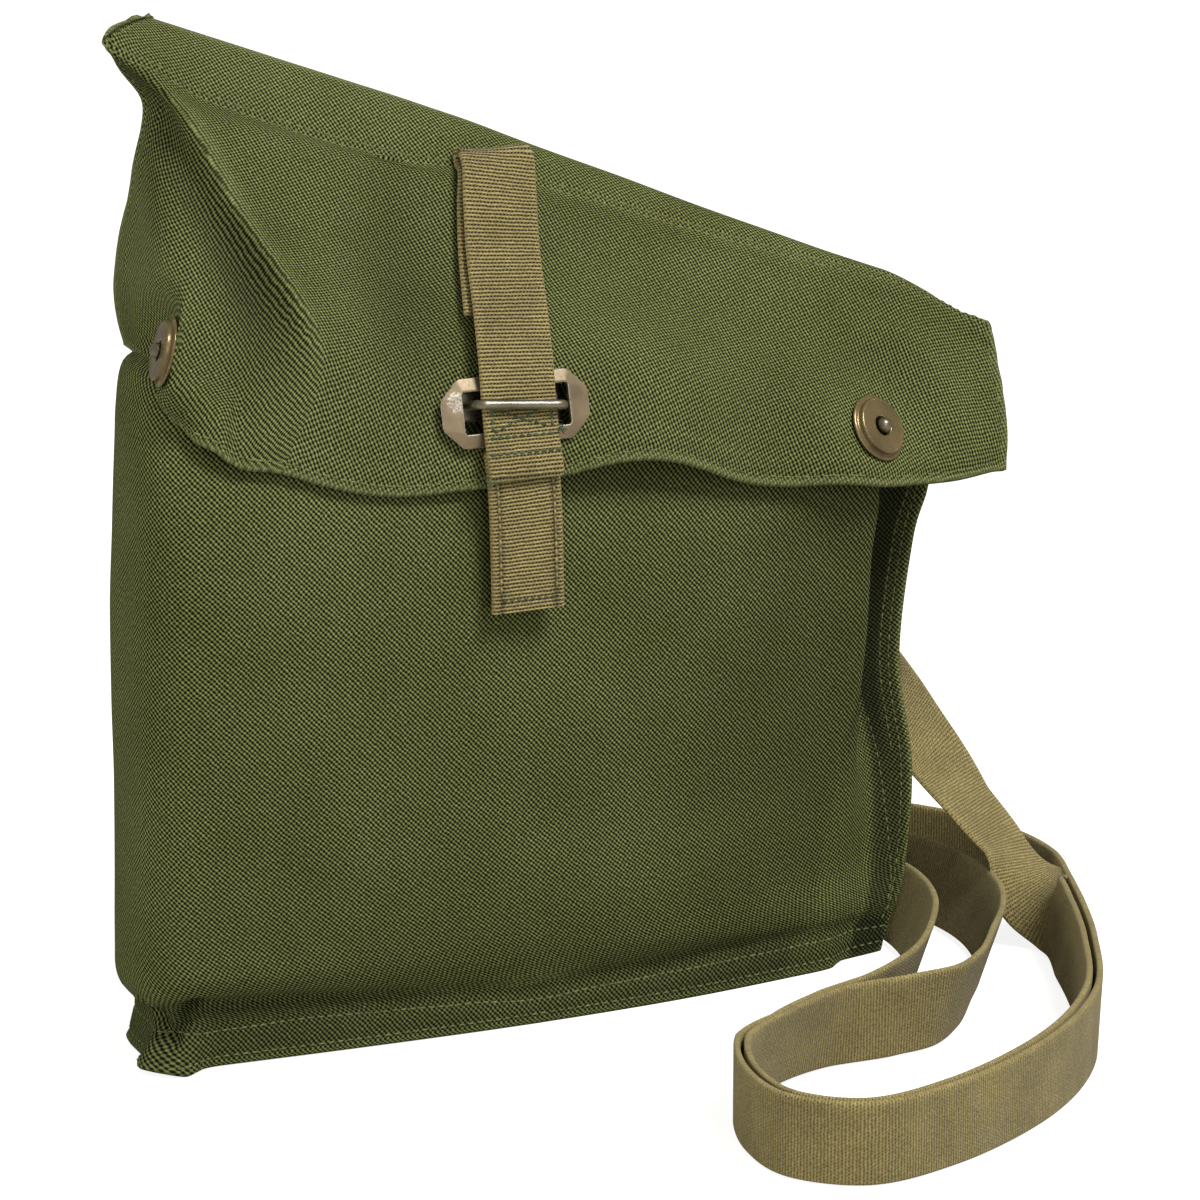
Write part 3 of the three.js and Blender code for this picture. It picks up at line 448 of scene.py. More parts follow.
def stitch_row(points, normals, pitch=3, length=2.3, thick=0.6, sink=0.15, sides=6):
    """A row of thread stitches along a line on the cloth: every stitch is a spindle that rises out of the
    cloth and dips back, its radius the fourth root of a half sine wave, its lift a half sine wave."""
    run = lengths(points)
    middle = np.arange(pitch / 2, run[-1] - pitch / 2, pitch)
    centre, out = read_along(run, middle, points), unit(read_along(run, middle, normals))
    ahead = unit(read_along(run, middle, np.gradient(points, axis=0)))
    side = unit(np.cross(ahead, out))
    along = np.linspace(0.04, 0.96, sides)
    bow = np.sin(np.pi * along)
    angle = np.arange(sides) * 2 * np.pi / sides
    reach = (along - 0.5) * length
    radius = thick / 2 * bow ** 0.25
    lift = thick * (0.55 * bow - 0.25) - sink
    ring = (
        centre[:, None, None]
        + ahead[:, None, None] * reach[:, None, None]
        + side[:, None, None] * (radius[:, None] * np.cos(angle))[..., None]
        + out[:, None, None] * (lift[:, None] + radius[:, None] * np.sin(angle))[..., None]
    )
    block = np.arange(sides * sides).reshape(sides, sides)
    half = sides // 2
    caps = [cells(np.stack([block[i, :half], block[i, :half - 1:-1]])) for i in (0, -1)]
    one = np.concatenate([cells(block, wrap_columns=True), caps[0], caps[1][:, ::-1]])[:, ::-1]
    faces = (one[None] + np.arange(len(middle))[:, None, None] * block.size).reshape(-1, 4)
    return ring.reshape(-1, 3), faces


def joined(parts):
    """Several pairs of points and faces as one."""
    starts = np.cumsum([0] + [len(points) for points, _ in parts])
    faces = np.concatenate([faces + start for (_, faces), start in zip(parts, starts)])
    return np.concatenate([points for points, _ in parts]), faces


def add_piece(name, points, faces, material, slot, nodes=(), uv=None, wear=None):
    """A smooth mesh object at the origin from points in mm and arrays of quads or triangles. The UV map
    holds metres along the cloth; the stored value above 0 is rubbing and painted light, below 0 dirt and
    painted shade."""
    groups = faces if isinstance(faces, (list, tuple)) else [faces]
    mesh = bpy.data.meshes.new(name)
    mesh.from_pydata((points * MM).tolist(), [], [face for group in groups for face in group.tolist()])
    mesh.polygons.foreach_set("use_smooth", np.ones(len(mesh.polygons), bool))
    if uv is not None:
        corner = np.concatenate([group.ravel() for group in groups])
        layer = mesh.uv_layers.new(name="Cloth")
        layer.uv.foreach_set("vector", (uv[corner] * MM).astype(np.float32).ravel())
    # This per-point value holds painted light and shade as well as rubbing and dirt.
    if wear is not None:
        mesh.attributes.new("wear", "FLOAT", "POINT").data.foreach_set("value", wear.astype(np.float32))
    if mesh.validate():
        raise RuntimeError(f"{name} has faces that its mesh can't hold")
    mesh.materials.append(material)
    piece = bpy.data.objects.new(name, mesh)
    bpy.context.scene.collection.objects.link(piece)
    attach(piece, "root")
    if nodes:
        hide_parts(*nodes)
    return piece


# The body and the flap as surfaces


def height_at(row, x):
    """Height of a table's row at x, on a straight line through its heights at the two marks."""
    return lerp(row["z_left"], row["z_right"], (x - LEFT_MARK) / (RIGHT_MARK - LEFT_MARK))


def signed_power(value, power):
    """A number's size to a power, with its sign."""
    return np.sign(value) * np.abs(value) ** power


def body_rows(level):
    """The body's table at fractional levels, its columns standing upright."""
    return {name: column[:, None] for name, column in at_level(BODY_LEVELS, level).items()}


def body_plan(level):
    """Sixteen plan points of the body for each level: a squared-off half round at the left, the front that
    falls back to the right corner by a power law, the gusset behind it, and the sewn flange."""
    row = body_rows(level)
    start, middle = row["left"] + row["round"], (BACK_PLANE + row["front"]) / 2
    bend = 2 / ROLL_POWER
    left_x = start - row["round"] * signed_power(np.cos(LEFT_TURNS), bend)
    left_y = middle + (BACK_PLANE - middle) * signed_power(np.sin(LEFT_TURNS), bend)
    face_x = lerp(start, row["edge_x"], FACE_SHARES)
    face_y = lerp(row["front"], row["edge_y"], FACE_SHARES ** row["fall"])
    root_x = row["flange"] - FLANGE_WIDTH
    fold_x = lerp((row["edge_x"] + root_x) / 2, row["edge_x"] - GUSSET_TUCK, row["open"])
    fold_y = lerp(row["edge_y"], row["root_y"], lerp(*GUSSET_FOLD, row["open"]))
    x = np.concatenate([left_x, face_x, row["edge_x"], fold_x, root_x, row["flange"]], 1)
    y = np.concatenate([left_y, face_y, row["edge_y"], fold_y, row["root_y"], row["tip_y"]], 1)
    return np.stack([x, y], -1)


def body_surface(places, level):
    """The body's outer face on a grid of levels by places round the plan."""
    plan = spline(body_plan(level), places)
    return np.concatenate([plan, height_at(body_rows(level), plan[..., 0])[..., None]], -1)


def flap_surface(across, down):
    """The flap's outer face: left of the ridge a squared quarter round from the side to the front, right
    of it a front that falls back by a power law, with a lifted left edge, a wavy hem and a drooping end."""
    level = down * HEM_LEVEL
    row = at_level(FLAP_LEVELS, level)
    turn = np.clip(across / LEFT_SHARE, 0, 1) * np.pi / 2
    bend = 2 / row["power"]
    share = np.clip((across - LEFT_SHARE) / (1 - LEFT_SHARE), 0, 1)
    full = EAR_FULLNESS["out"] * swell(level, EAR_FULLNESS["level"], EAR_FULLNESS["width"]) * np.cos(turn)
    round_x = lerp(row["ridge"], row["left"], np.cos(turn) ** bend) - full
    facing = row["front"] + row["facet"] * np.cos(turn) ** bend
    round_y = lerp(row["left_y"], facing, np.sin(turn) ** bend)
    left = across < LEFT_SHARE
    x = np.where(left, round_x, lerp(row["ridge"], row["right"], share))
    y = np.where(left, round_y, lerp(row["front"], row["right_y"], share ** FLAP_POWER))
    lift = row["lift"] * np.clip(1 - across / LEFT_SHARE, 0, 1) ** LIFT_POWER
    wave = smoothstep(level, BROW_LEVEL, HEM_LEVEL)
    for wave_x, rise, out, width in zip(*HEM_WAVES.values()):
        bump = wave ** 2 * swell(x, wave_x, width)
        lift = lift + rise * bump
        y = y - out * bump
    droop = RIGHT_DROOP["drop"] * smoothstep(x, RIGHT_DROOP["start"], RIGHT_DROOP["end"])
    lift = lift - droop * (1 - wave)
    lift = lift + np.interp(x, BROW_SAG["x"], BROW_SAG["rise"]) * swell(level, BROW_LEVEL, BROW_WIDTH)
    lift = lift + CREASE_BOW["rise"] * swell(x, CREASE_BOW["x"], CREASE_BOW["width"]) * (1 - wave)
    return np.stack([x, y, height_at(row, x) + lift], -1)


def flap_place(x, z, halvings=40):
    """Across and down of the flap's point at a given x and height: across follows from x at each level,
    and down is halved in on from the crease to the hem."""
    def across_of(down):
        row = at_level(FLAP_LEVELS, down * HEM_LEVEL)
        share = (x - row["ridge"]) / (row["right"] - row["ridge"])
        return LEFT_SHARE + share * (1 - LEFT_SHARE)
    low, high = np.full_like(x, CREASE_LEVEL / HEM_LEVEL), np.ones_like(x)
    for _ in range(halvings):
        down = (low + high) / 2
        above = flap_surface(across_of(down), down)[..., 2] > z
        low, high = np.where(above, down, low), np.where(above, high, down)
    return across_of(high), high


def flap_frames(across, down, step=0.002):
    """Points of the flap with the directions out of it, to the right along it and up it."""
    point = flap_surface(across, down)
    sideways = flap_surface(across + step, down) - flap_surface(across - step, down)
    lower = np.clip(down - step, 0, 1), np.clip(down + step, 0, 1)
    downwards = flap_surface(across, lower[1]) - flap_surface(across, lower[0])
    out = unit(np.cross(downwards, sideways))
    right = unit(np.stack([-out[..., 1], out[..., 0], np.zeros_like(down)], -1))
    return point, right, np.cross(out, right), out


def spot_frame(place):
    """The flap's frame at one named place, as single vectors: point, right, up and out."""
    if "across" in place:
        across, down = np.array([place["across"]]), np.array([place["down"]])
    else:
        across, down = flap_place(np.array([float(place["x"])]), np.array([float(place["z"])]))
    point, right, up, out = (vector[0] for vector in flap_frames(across, down))
    if "facing" in place:
        out = unit(np.array(place["facing"]))
        right = unit(np.array([-out[1], out[0], 0]))
        up = np.cross(out, right)
    return point, right, up, out


# Cloth with its folds, worked out once


# The sewn foot, along x: the height of its upper stitch row, and of the crease over it with its depth.
FOOT = table(
    "x row crease depth",
    (-124, 10.8, 14.5, 2.4), (-118, 10.8, 17, 2.2), (-111, 10.8, 19.4, 2.2), (-76, 11.5, 17.7, 2.4),
    (-56, 10.7, 15.5, 2.4), (-20, 9, 11.8, 2.2), (0, 7.2, 9.6, 2), (17, 8.2, 11.6, 2.2),
    (39, 8.8, 12.4, 2.4), (69, 9, 12.2, 2.6), (97, 8.6, 11, 2.2), (115, 8, 10, 1.4), (125, 7.5, 9.5, 0.5),
)
LOWER_ROW = 3.2
GUSSET_ROW = table("z from_tip", (14, 4), (21, 4.5), (45, 9), (74, 12.6))

# Other rows of stitches: from the flange's tip with the height at which each starts, from the flap's hem
# and sides, on both sides of the brow, and from the flap's back edge. A row lies in a groove.
FLANGE_ROWS = ((3.2, 9), (6, 60))
HEM_ROW, BROW_ROW, FLAP_BACK_ROWS = 2.4, 1.2, (4, 10)
BACK_ROW_FROM, SIDE_ROW_FROM = 6, 4
GROOVE = 0.8

# Spacing of the grids' lines, measured at one level of the body and along two lines of the flap.
BODY_SPACING, FLAP_SPACING, STRAP_SPACING, STRIP_SPACING = 1.5, 1.25, 1.3, 0.28
GIRTH_LEVEL = 5.0
FLAP_SPACED_AT = {"across": 0.6, "down": 0.8}

# Soft waves of the cloth: height, cell and seed.
BODY_RUMPLES = ((1.3, 74, 3), (0.45, 27, 4))
FLAP_RUMPLES = ((0.9, 58, 7), (0.35, 23, 8))

# Folds of the body: where its rumples fade, from the flange's tip, round from the back, over the crease
# and by shares of the rim's height; the crease and the uneven roll over it; and the foot's lowest rows.
FADE_TIP, FADE_BACK, FADE_CREASE, FADE_RIM = (10, 40), (4, 30), 25, (0.62, 0.76)
CREASE_WIDTH = 3
CREASE_ROLL = {"share": 0.35, "above": 9, "width": 6, "uneven": 0.8}
FOOT_PUCKER = {"height": 0.3, "width": 5}
FOOT_RISE = {"first": 0.8, "each": 0.3, "below": 15}
ROW_DEPTH = {"foot": 0.4, "flange": 0.35, "hem": 0.4, "brow": 0.35, "back": 0.3}

# Folds of the flap: the levels over which the ridge comes and goes and the front starts; the ridge's roll
# and the hollow left of it, each with its distance, width and height; and the folded hem.
RIDGE_COMES, RIDGE_GOES, DENTS_COME, FRONT_COMES = (2.95, 3.6), (5.5, 6.7), (3, 3.6), (2.2, 2.6)
RIDGE_FOLDS = ((1.5, 5, 1.8), (-10, 8, -3.4))
CLOSURE_CLEAR = 24
HEM_FOLD = {"height": 0.45, "start": 7.5, "end": 9}
PUCKER = {"height": 0.28, "brow": 4.5, "hem": 4}
BACK_LINES, FLOOR_LINES = (140, 160), (40, 160)

# Pinched corner at the foot: valleys and a roll along lines on the cloth, with their width and depth.
CORNER_FOLDS = table(
    "x1 y1 z1 x2 y2 z2 width depth",
    (-121, -8.5, 18.8, -115.7, -18.6, 8.7, 2.3, 3.4), (-115.7, -18.6, 8.7, -109, -21, 20.5, 2.6, 2.8),
    (-122.6, -4, 15.5, -117.6, -16.6, 8, 2.4, -1.7), (-116, -20, 6.6, -114.8, -20.6, 5.4, 2, 1.2),
    (-120.5, -16.5, 2, -117, -20.5, 2, 7.5, -8.5),
)


def from_line(points, start, end):
    """Distance of points from a straight line between two ends."""
    along = end - start
    share = np.clip((points - start) @ along / (along @ along), 0, 1)
    return np.linalg.norm(points - start - share[..., None] * along, axis=-1)


def foot_line(name, x):
    """A column of the foot table along x, rounded off between its rows."""
    level = np.interp(x, FOOT["x"], np.arange(len(FOOT["x"])))
    return at_level({name: FOOT[name]}, level)[name]


@functools.lru_cache(maxsize=None)
def body_cloth():
    """The body's grid with its folds pressed in along the normals: the crease over the sewn foot, the
    corner pinch, the seam grooves and soft rumples. Gives the grid, normals, UV and a value per point:
    paler where the bottom edge and the flange's tip are rubbed, darker by painted shade in the crease and
    the pinch, in the gusset recess, on the flange and on the foot, and by the flap's painted shadow over
    the right of the front."""
    girth = body_plan(np.array([GIRTH_LEVEL]))[0]
    places = even_places(lambda t: spline(girth, t), len(girth) - 1, BODY_SPACING)
    level = even_places(lambda t: at_level(BODY_LEVELS, t)["z_left"][:, None], BODY_RIM, BODY_SPACING)
    grid = body_surface(places, level)
    normals = grid_normals(grid)
    x, z = grid[..., 0], grid[..., 2]
    around = lengths(grid[..., :2], 1)
    from_tip = around[:, -1:] - around
    row, crease, depth = (foot_line(name, x) for name in ("row", "crease", "depth"))
    inside = smoothstep(from_tip, *FADE_TIP) * smoothstep(around, *FADE_BACK)
    upper = smoothstep(z, crease, crease + FADE_CREASE) * (1 - smoothstep(z / height_top(x), *FADE_RIM))
    push = inside * upper * rumples(BODY_RUMPLES, around, z)
    push -= depth * swell(z, crease, CREASE_WIDTH)
    roll = swell(z, crease + CREASE_ROLL["above"], CREASE_ROLL["width"])
    uneven = 1 + CREASE_ROLL["uneven"] * rumple(around, 0 * z, 31, 5)
    push += CREASE_ROLL["share"] * depth * roll * uneven
    push -= ROW_DEPTH["foot"] * (swell(z, row, 0.9) + swell(z, LOWER_ROW, GROOVE))
    push += FOOT_PUCKER["height"] * rumple(around, 0 * z, 6, 6) * swell(z, row + 1, FOOT_PUCKER["width"])
    pinch = np.zeros_like(x)
    for *ends, width, fold in zip(*CORNER_FOLDS.values()):
        pinch += fold * swell(from_line(grid, np.array(ends[:3]), np.array(ends[3:])), 0, width)
    push -= pinch
    sewn = smoothstep(z, 10, 25)
    push -= ROW_DEPTH["flange"] * sewn * sum(swell(from_tip, inset, GROOVE) for inset, _ in FLANGE_ROWS)
    grid = grid + normals * push[..., None]
    least = FOOT_RISE["first"] + FOOT_RISE["each"] * np.arange(len(grid))
    grid[..., 2] = np.maximum(grid[..., 2], least[:, None] * (z < FOOT_RISE["below"]))
    rubbed = 0.5 * (1 - smoothstep(z, 0.6, 2.4)) + 0.4 * (1 - smoothstep(from_tip, 0.6, 2))
    # Painted shade in the crease over the foot and in the corner pinch.
    folds = 0.05 * swell(z, crease, 3.4) * depth / 2.4 + 0.12 * np.maximum(pinch, 0)
    # Painted shade in the recess of the tucked gusset and on the flange behind the bulge.
    gusset = body_rows(level)["open"] * smoothstep(from_tip, 5, 11) * (1 - smoothstep(from_tip, 40, 44))
    flange = 0.7 * smoothstep(from_tip, 0, 2) * (1 - smoothstep(from_tip, 11, 15))
    # Painted shade on the sewn foot below the crease.
    foot = 0.5 * (1 - smoothstep(z, crease - 3, crease + 4))
    # Painted shadow of the flap over the right of the front panel.
    painted_flap_shadow = 0.27 * smoothstep(x, 20, 110) * smoothstep(from_tip, 38, 46)
    wear = rubbed - folds - gusset - flange - foot - painted_flap_shadow
    return grid, grid_normals(grid), np.stack([around, z], -1), wear


def height_top(x):
    """Height of the body's rim at x."""
    return height_at({name: BODY_LEVELS[name][-1] for name in ("z_left", "z_right")}, x)


@functools.lru_cache(maxsize=None)
def flap_places():
    """Across and down of the flap's grid lines, evenly spaced on the cloth."""
    level, column = FLAP_SPACED_AT["down"], FLAP_SPACED_AT["across"]
    across = even_places(lambda t: flap_surface(t, np.full_like(t, level)), 1, FLAP_SPACING)
    down = even_places(lambda t: flap_surface(np.full_like(t, column), t), 1, FLAP_SPACING)
    return across, down


@functools.lru_cache(maxsize=None)
def flap_cloth():
    """The flap's grid with its rolled ridge, hem, stitched brow, soft dents and the flats that the snaps
    press. Gives the grid, normals, UV and a value per point: paler where its edges, crease and ridge are
    rubbed and by painted light on its left side, darker by painted shade in the hollow left of the ridge,
    under the brow on the left and in the dents."""
    across, down = np.meshgrid(*flap_places())
    grid = flap_surface(across, down)
    held = np.zeros_like(across)
    for snap in (LEFT_SNAP, RIGHT_SNAP):
        middle, _, _, facing = spot_frame(snap)
        pressed = 1 - smoothstep(np.linalg.norm(grid - middle, axis=-1), snap["flat"], snap["blend"])
        grid = grid - facing * (pressed * ((grid - middle) @ facing))[..., None]
        held = np.maximum(held, pressed)
    normals = -grid_normals(grid)
    x, level = grid[..., 0], down * HEM_LEVEL
    from_ridge, fallen, to_hem, from_brow = flap_runs(grid)
    to_left, to_right = lengths(grid, 1), lengths(grid[:, ::-1], 1)[:, ::-1]
    clear = (1 - swell(x, CLOSURE["x"], CLOSURE_CLEAR) ** 2) * (1 - held)
    push = clear * rumples(FLAP_RUMPLES, from_ridge, fallen)
    fade = smoothstep(level, *RIDGE_COMES) * (1 - smoothstep(level, *RIDGE_GOES))
    push += fade * sum(height * swell(from_ridge, place, width) for place, width, height in RIDGE_FOLDS)
    hollow = np.zeros_like(x)
    for dent_x, dent_z, wide, high, dent in zip(*FLAP_DENTS.values()):
        dip = dent * swell(x, dent_x, wide) * swell(grid[..., 2], dent_z, high)
        hollow += dip * smoothstep(level, *DENTS_COME)
    push -= hollow
    edge = np.minimum(np.minimum(to_hem, to_left), to_right)
    front = smoothstep(level, *FRONT_COMES)
    folded = HEM_FOLD["height"] * front * (1 - smoothstep(edge, HEM_FOLD["start"], HEM_FOLD["end"]))
    push += folded - ROW_DEPTH["hem"] * front * swell(edge, HEM_ROW, GROOVE)
    push -= ROW_DEPTH["brow"] * (swell(from_brow, BROW_ROW, GROOVE) + swell(from_brow, -BROW_ROW, GROOVE))
    pucker = swell(from_brow, 0, PUCKER["brow"]) + front * swell(edge, HEM_ROW, PUCKER["hem"])
    push += PUCKER["height"] * rumple(from_ridge, 0 * x, 6, 9) * pucker
    grid = grid + normals * push[..., None]
    rubbed = 0.55 * (1 - smoothstep(edge, 0.5, 1.8)) + 0.5 * swell(level, CREASE_LEVEL, 0.09)
    # The ridge's crest is rubbed paler; the hollow left of it is darkened by painted shade.
    rolled = fade * (0.4 * swell(from_ridge, 1.5, 3.5) - 0.45 * swell(from_ridge, -12, 12))
    # Painted light on the flap's side left of the ridge.
    painted_light_left_side = 0.25 * fade * smoothstep(-from_ridge, 30, 45)
    # Painted shade under the brow on the left.
    painted_shade_under_brow = 0.22 * swell(level, 3.3, 0.5) * (1 - smoothstep(x, -60, 0))
    # The last term is painted shade in the dents.
    wear = rubbed + rolled + painted_light_left_side - painted_shade_under_brow - 0.1 * np.maximum(hollow, 0)
    slope = np.ptp([FLAP_LEVELS[name][CREASE_LEVEL] for name in ("z_left", "z_right")])
    lean = np.arctan2(slope, RIGHT_MARK - LEFT_MARK)
    ridge = np.abs(across[0] - LEFT_SHARE).argmin()
    along = from_ridge + x[:, ridge:ridge + 1]
    uv = np.stack([along / np.cos(lean) + fallen * np.sin(lean), -fallen * np.cos(lean)], -1)
    return grid, -grid_normals(grid), uv, wear


def flap_runs(grid):
    """Distances over the flap's grid: along the plan from the ridge, and down the cloth from the crease,
    to the hem and from the brow."""
    across, down = flap_places()
    plan, fall = lengths(grid[..., :2], 1), lengths(grid, 0)
    ridge = np.abs(across - LEFT_SHARE).argmin()
    columns = np.arange(len(across))
    def fall_at(level):
        row = np.interp(level / HEM_LEVEL, down, np.arange(len(down)))
        return sample(fall[..., None], np.full(len(across), row), columns)[..., 0]
    from_ridge = plan - plan[:, ridge:ridge + 1]
    return from_ridge, fall - fall_at(CREASE_LEVEL), fall[-1] - fall, fall - fall_at(BROW_LEVEL)


@functools.lru_cache(maxsize=None)
def back_cloth():
    """The flat back panel, from the left turn to the flange and up to the flap's crease, with soft waves."""
    share, up = np.meshgrid(np.linspace(1, 0, BACK_LINES[0]), np.linspace(0, 1, BACK_LINES[1]))
    row = at_level(BODY_LEVELS, up * BODY_RIM)
    crease = {name: FLAP_LEVELS[name][CREASE_LEVEL] for name in ("z_left", "z_right")}
    x = lerp(BACK["left"], row["flange"], share)
    z = height_at(row, x) + (height_at(crease, x) - BACK["top_drop"] - height_top(x)) * up * up
    edge = np.minimum(np.minimum(x - BACK["left"], row["flange"] - x), z)
    wave = 0.3 * rumple(x, z, 46, 11) * smoothstep(edge, 8, 25)
    wave = wave - ROW_DEPTH["back"] * swell(edge, BACK["row"], GROOVE)
    bend = (row["tip_y"] - BODY_LEVELS["tip_y"][-1]) * smoothstep(x, BACK["bend"], row["flange"])
    grid = np.stack([x, BACK["plane"] + wave + bend, np.maximum(z, 0.8)], -1)
    wear = 0.5 * (1 - smoothstep(edge, 0.5, 1.8))
    return grid, grid_normals(grid), np.stack([-x, z], -1), wear


def floor_cloth():
    """The floor panel's underside, between the insides of the foot and of the back panel."""
    foot = {name: column[0] for name, column in BODY_LEVELS.items()}
    inset, start = BACK["inset"], foot["left"] + foot["round"]
    wide = np.linspace(foot["left"] + 2 * inset, foot["edge_x"] - inset, FLOOR_LINES[1])
    share, x = np.meshgrid(np.linspace(0, 1, FLOOR_LINES[0]), wide)
    middle, half = (BACK_PLANE + foot["front"]) / 2, (BACK_PLANE - foot["front"]) / 2
    roll = (1 - (np.maximum(start - x, 0) / foot["round"]) ** ROLL_POWER) ** (1 / ROLL_POWER)
    fallen = (np.maximum(x - start, 0) / (foot["edge_x"] - start)) ** foot["fall"]
    face = lerp(foot["front"], foot["edge_y"], fallen)
    near = np.where(x < start, middle - half * roll, face) + inset
    far = np.where(x < start, middle + half * roll, BACK_PLANE) - inset
    grid = np.stack([x, lerp(near, far, share), 0 * x], -1)
    return grid, grid_normals(grid), grid[..., :2], 0 * x


def seam(grid, normals, run, wanted=0.0, keep=slice(None)):
    """Points and normals of the line where a run that grows down the columns of a grid reaches a value."""
    rows = np.array([np.interp(wanted, column, np.arange(len(column))) for column in run.T])
    columns = np.arange(run.shape[1])
    return sample(grid, rows, columns)[keep], sample(normals, rows, columns)[keep]


def turned_grid(grid):
    """A grid with its rows and columns swapped."""
    return np.swapaxes(grid, 0, 1)


# Materials


def feed(tree, node, inputs):
    """Fills a node's inputs with values or links."""
    for name, value in inputs.items():
        if isinstance(value, bpy.types.NodeSocket):
            tree.links.new(value, node.inputs[name])
        else:
            node.inputs[name].default_value = value


def add_node(tree, kind, inputs=None, **settings):
    """Adds a node, sets its properties, and fills its inputs with values or links."""
    node = tree.nodes.new(kind)
    for name, value in settings.items():
        setattr(node, name, value)
    feed(tree, node, inputs or {})
    return node


def noise(tree, place, scale, detail, roughness=0.5):
    """Outputs of a cloudy noise."""
    inputs = {"Vector": place, "Scale": scale, "Detail": detail, "Roughness": roughness}
    return add_node(tree, "ShaderNodeTexNoise", inputs).outputs


def ranged(tree, value, start, end, low=0.0, high=1.0):
    """A value's way from start to end, as a number from low to high."""
    return add_node(tree, "ShaderNodeMapRange", {0: value, 1: start, 2: end, 3: low, 4: high}).outputs[0]


def worked(tree, operation, *values):
    """The result of a math node."""
    return add_node(tree, "ShaderNodeMath", dict(enumerate(values)), operation=operation).outputs[0]


def blend(tree, share, first, second):
    """A number between two by a share."""
    return add_node(tree, "ShaderNodeMix", {0: share, 2: first, 3: second}, data_type="FLOAT").outputs[0]


def mixed(tree, share, first, second, way="MIX"):
    """A colour mixed from two by a share."""
    inputs = {0: share, 6: first, 7: second}
    return add_node(tree, "ShaderNodeMix", inputs, data_type="RGBA", blend_type=way).outputs[2]


def relief(tree, height, strength, distance):
    """Normals of a relief."""
    inputs = {"Height": height, "Strength": strength, "Distance": distance}
    return add_node(tree, "ShaderNodeBump", inputs).outputs[0]


def wear_and_painted_shading_of(tree):
    """Rubbing, dirt and painted light and shade, as stored on the piece's points."""
    return add_node(tree, "ShaderNodeAttribute", attribute_name="wear").outputs["Fac"]


def new_material(name, inputs=None):
    """A node material with its tree and its main shader, whose inputs get those values."""
    material = bpy.data.materials.new(name)
    material.use_nodes = True
    tree = material.node_tree
    shader = tree.nodes["Principled BSDF"]
    feed(tree, shader, inputs or {})
    return material, tree, shader


def cloth_axes(tree, scale, reach):
    """The place on the cloth, and its two axes for threads that wander by a noise."""
    place = add_node(tree, "ShaderNodeUVMap", uv_map="Cloth").outputs[0]
    inputs = {0: noise(tree, place, scale, 1.0)["Color"], 1: (reach, reach, 0), 2: place}
    moved = add_node(tree, "ShaderNodeVectorMath", inputs, operation="MULTIPLY_ADD")
    axes = add_node(tree, "ShaderNodeSeparateXYZ", {0: moved.outputs[0]})
    return place, axes.outputs[0], axes.outputs[1]


def yarn_wave(tree, value, pitch):
    """A cosine wave of that pitch."""
    return worked(tree, "COSINE", worked(tree, "MULTIPLY", value, 2 * np.pi / pitch))


def weathered_with_painted_shading(tree, shader, place, base, worn, weave, look):
    """Gives a cloth its flecks, its paler colour for rubbing and painted light, its darker colour for dirt
    and painted shade, and the relief of its weave.
    """
    fleck = noise(tree, place, look["fleck"], 2.0)[0]
    flecked = mixed(tree, 1.0, base, ranged(tree, fleck, 0.35, 0.7, 0.75, 1.3), "MULTIPLY")
    wear = wear_and_painted_shading_of(tree)
    # The pale mix shows rubbing and painted light; the dark one below shows dirt and painted shade.
    pale = mixed(tree, ranged(tree, wear, 0.0, 1.0, 0.0, look["rubbed"]), flecked, worn)
    dark = mixed(tree, 1.0, pale, ranged(tree, wear, 0.0, -1.0, 1.0, look["dirt_and_painted_shade"]), "MULTIPLY")
    height = worked(tree, "MULTIPLY_ADD", fleck, look["fleck_rise"], weave)
    feed(tree, shader, {"Base Color": dark, "Normal": relief(tree, height, look["strength"], look["depth"])})


def canvas_material(settings):
    """Plain-woven cotton duck, dyed olive: crossing threads catch the light as a fine check whose diagonals
    show as slanting rows, with paler slubs, darker gaps, a rubbed, yellower look where it is worn and where
    light is painted on it, and painted shade darkening it in folds and recesses."""
    inputs = {"Roughness": 0.92, "Specular IOR Level": 0.12}
    material, tree, shader = new_material("Olive cotton canvas", inputs)
    place, along, up = cloth_axes(tree, 330.0, 0.0007)
    slants = [worked(tree, "MULTIPLY_ADD", up, sign, along) for sign in (1.0, -1.0)]
    waves = [yarn_wave(tree, slant, 2 * settings.thread_pitch) for slant in slants]
    threads = ranged(tree, blend(tree, 0.4, *waves), -0.45, 0.8)
    base = mixed(tree, threads, settings.gap, settings.colour)
    patch = ranged(tree, noise(tree, place, 22.0, 4.0, 0.6)[0], 0.35, 0.75, 0.0, 0.55)
    mottled = mixed(tree, patch, base, settings.patch, "MULTIPLY")
    # Rubbing and painted light pale the canvas; painted shade darkens it.
    look = {"fleck": 900.0, "rubbed": 0.5, "dirt_and_painted_shade": 0.2, "fleck_rise": 0.5, "strength": 0.7, "depth": 0.00025}
    weathered_with_painted_shading(tree, shader, place, mottled, settings.worn, threads, look)
    return material


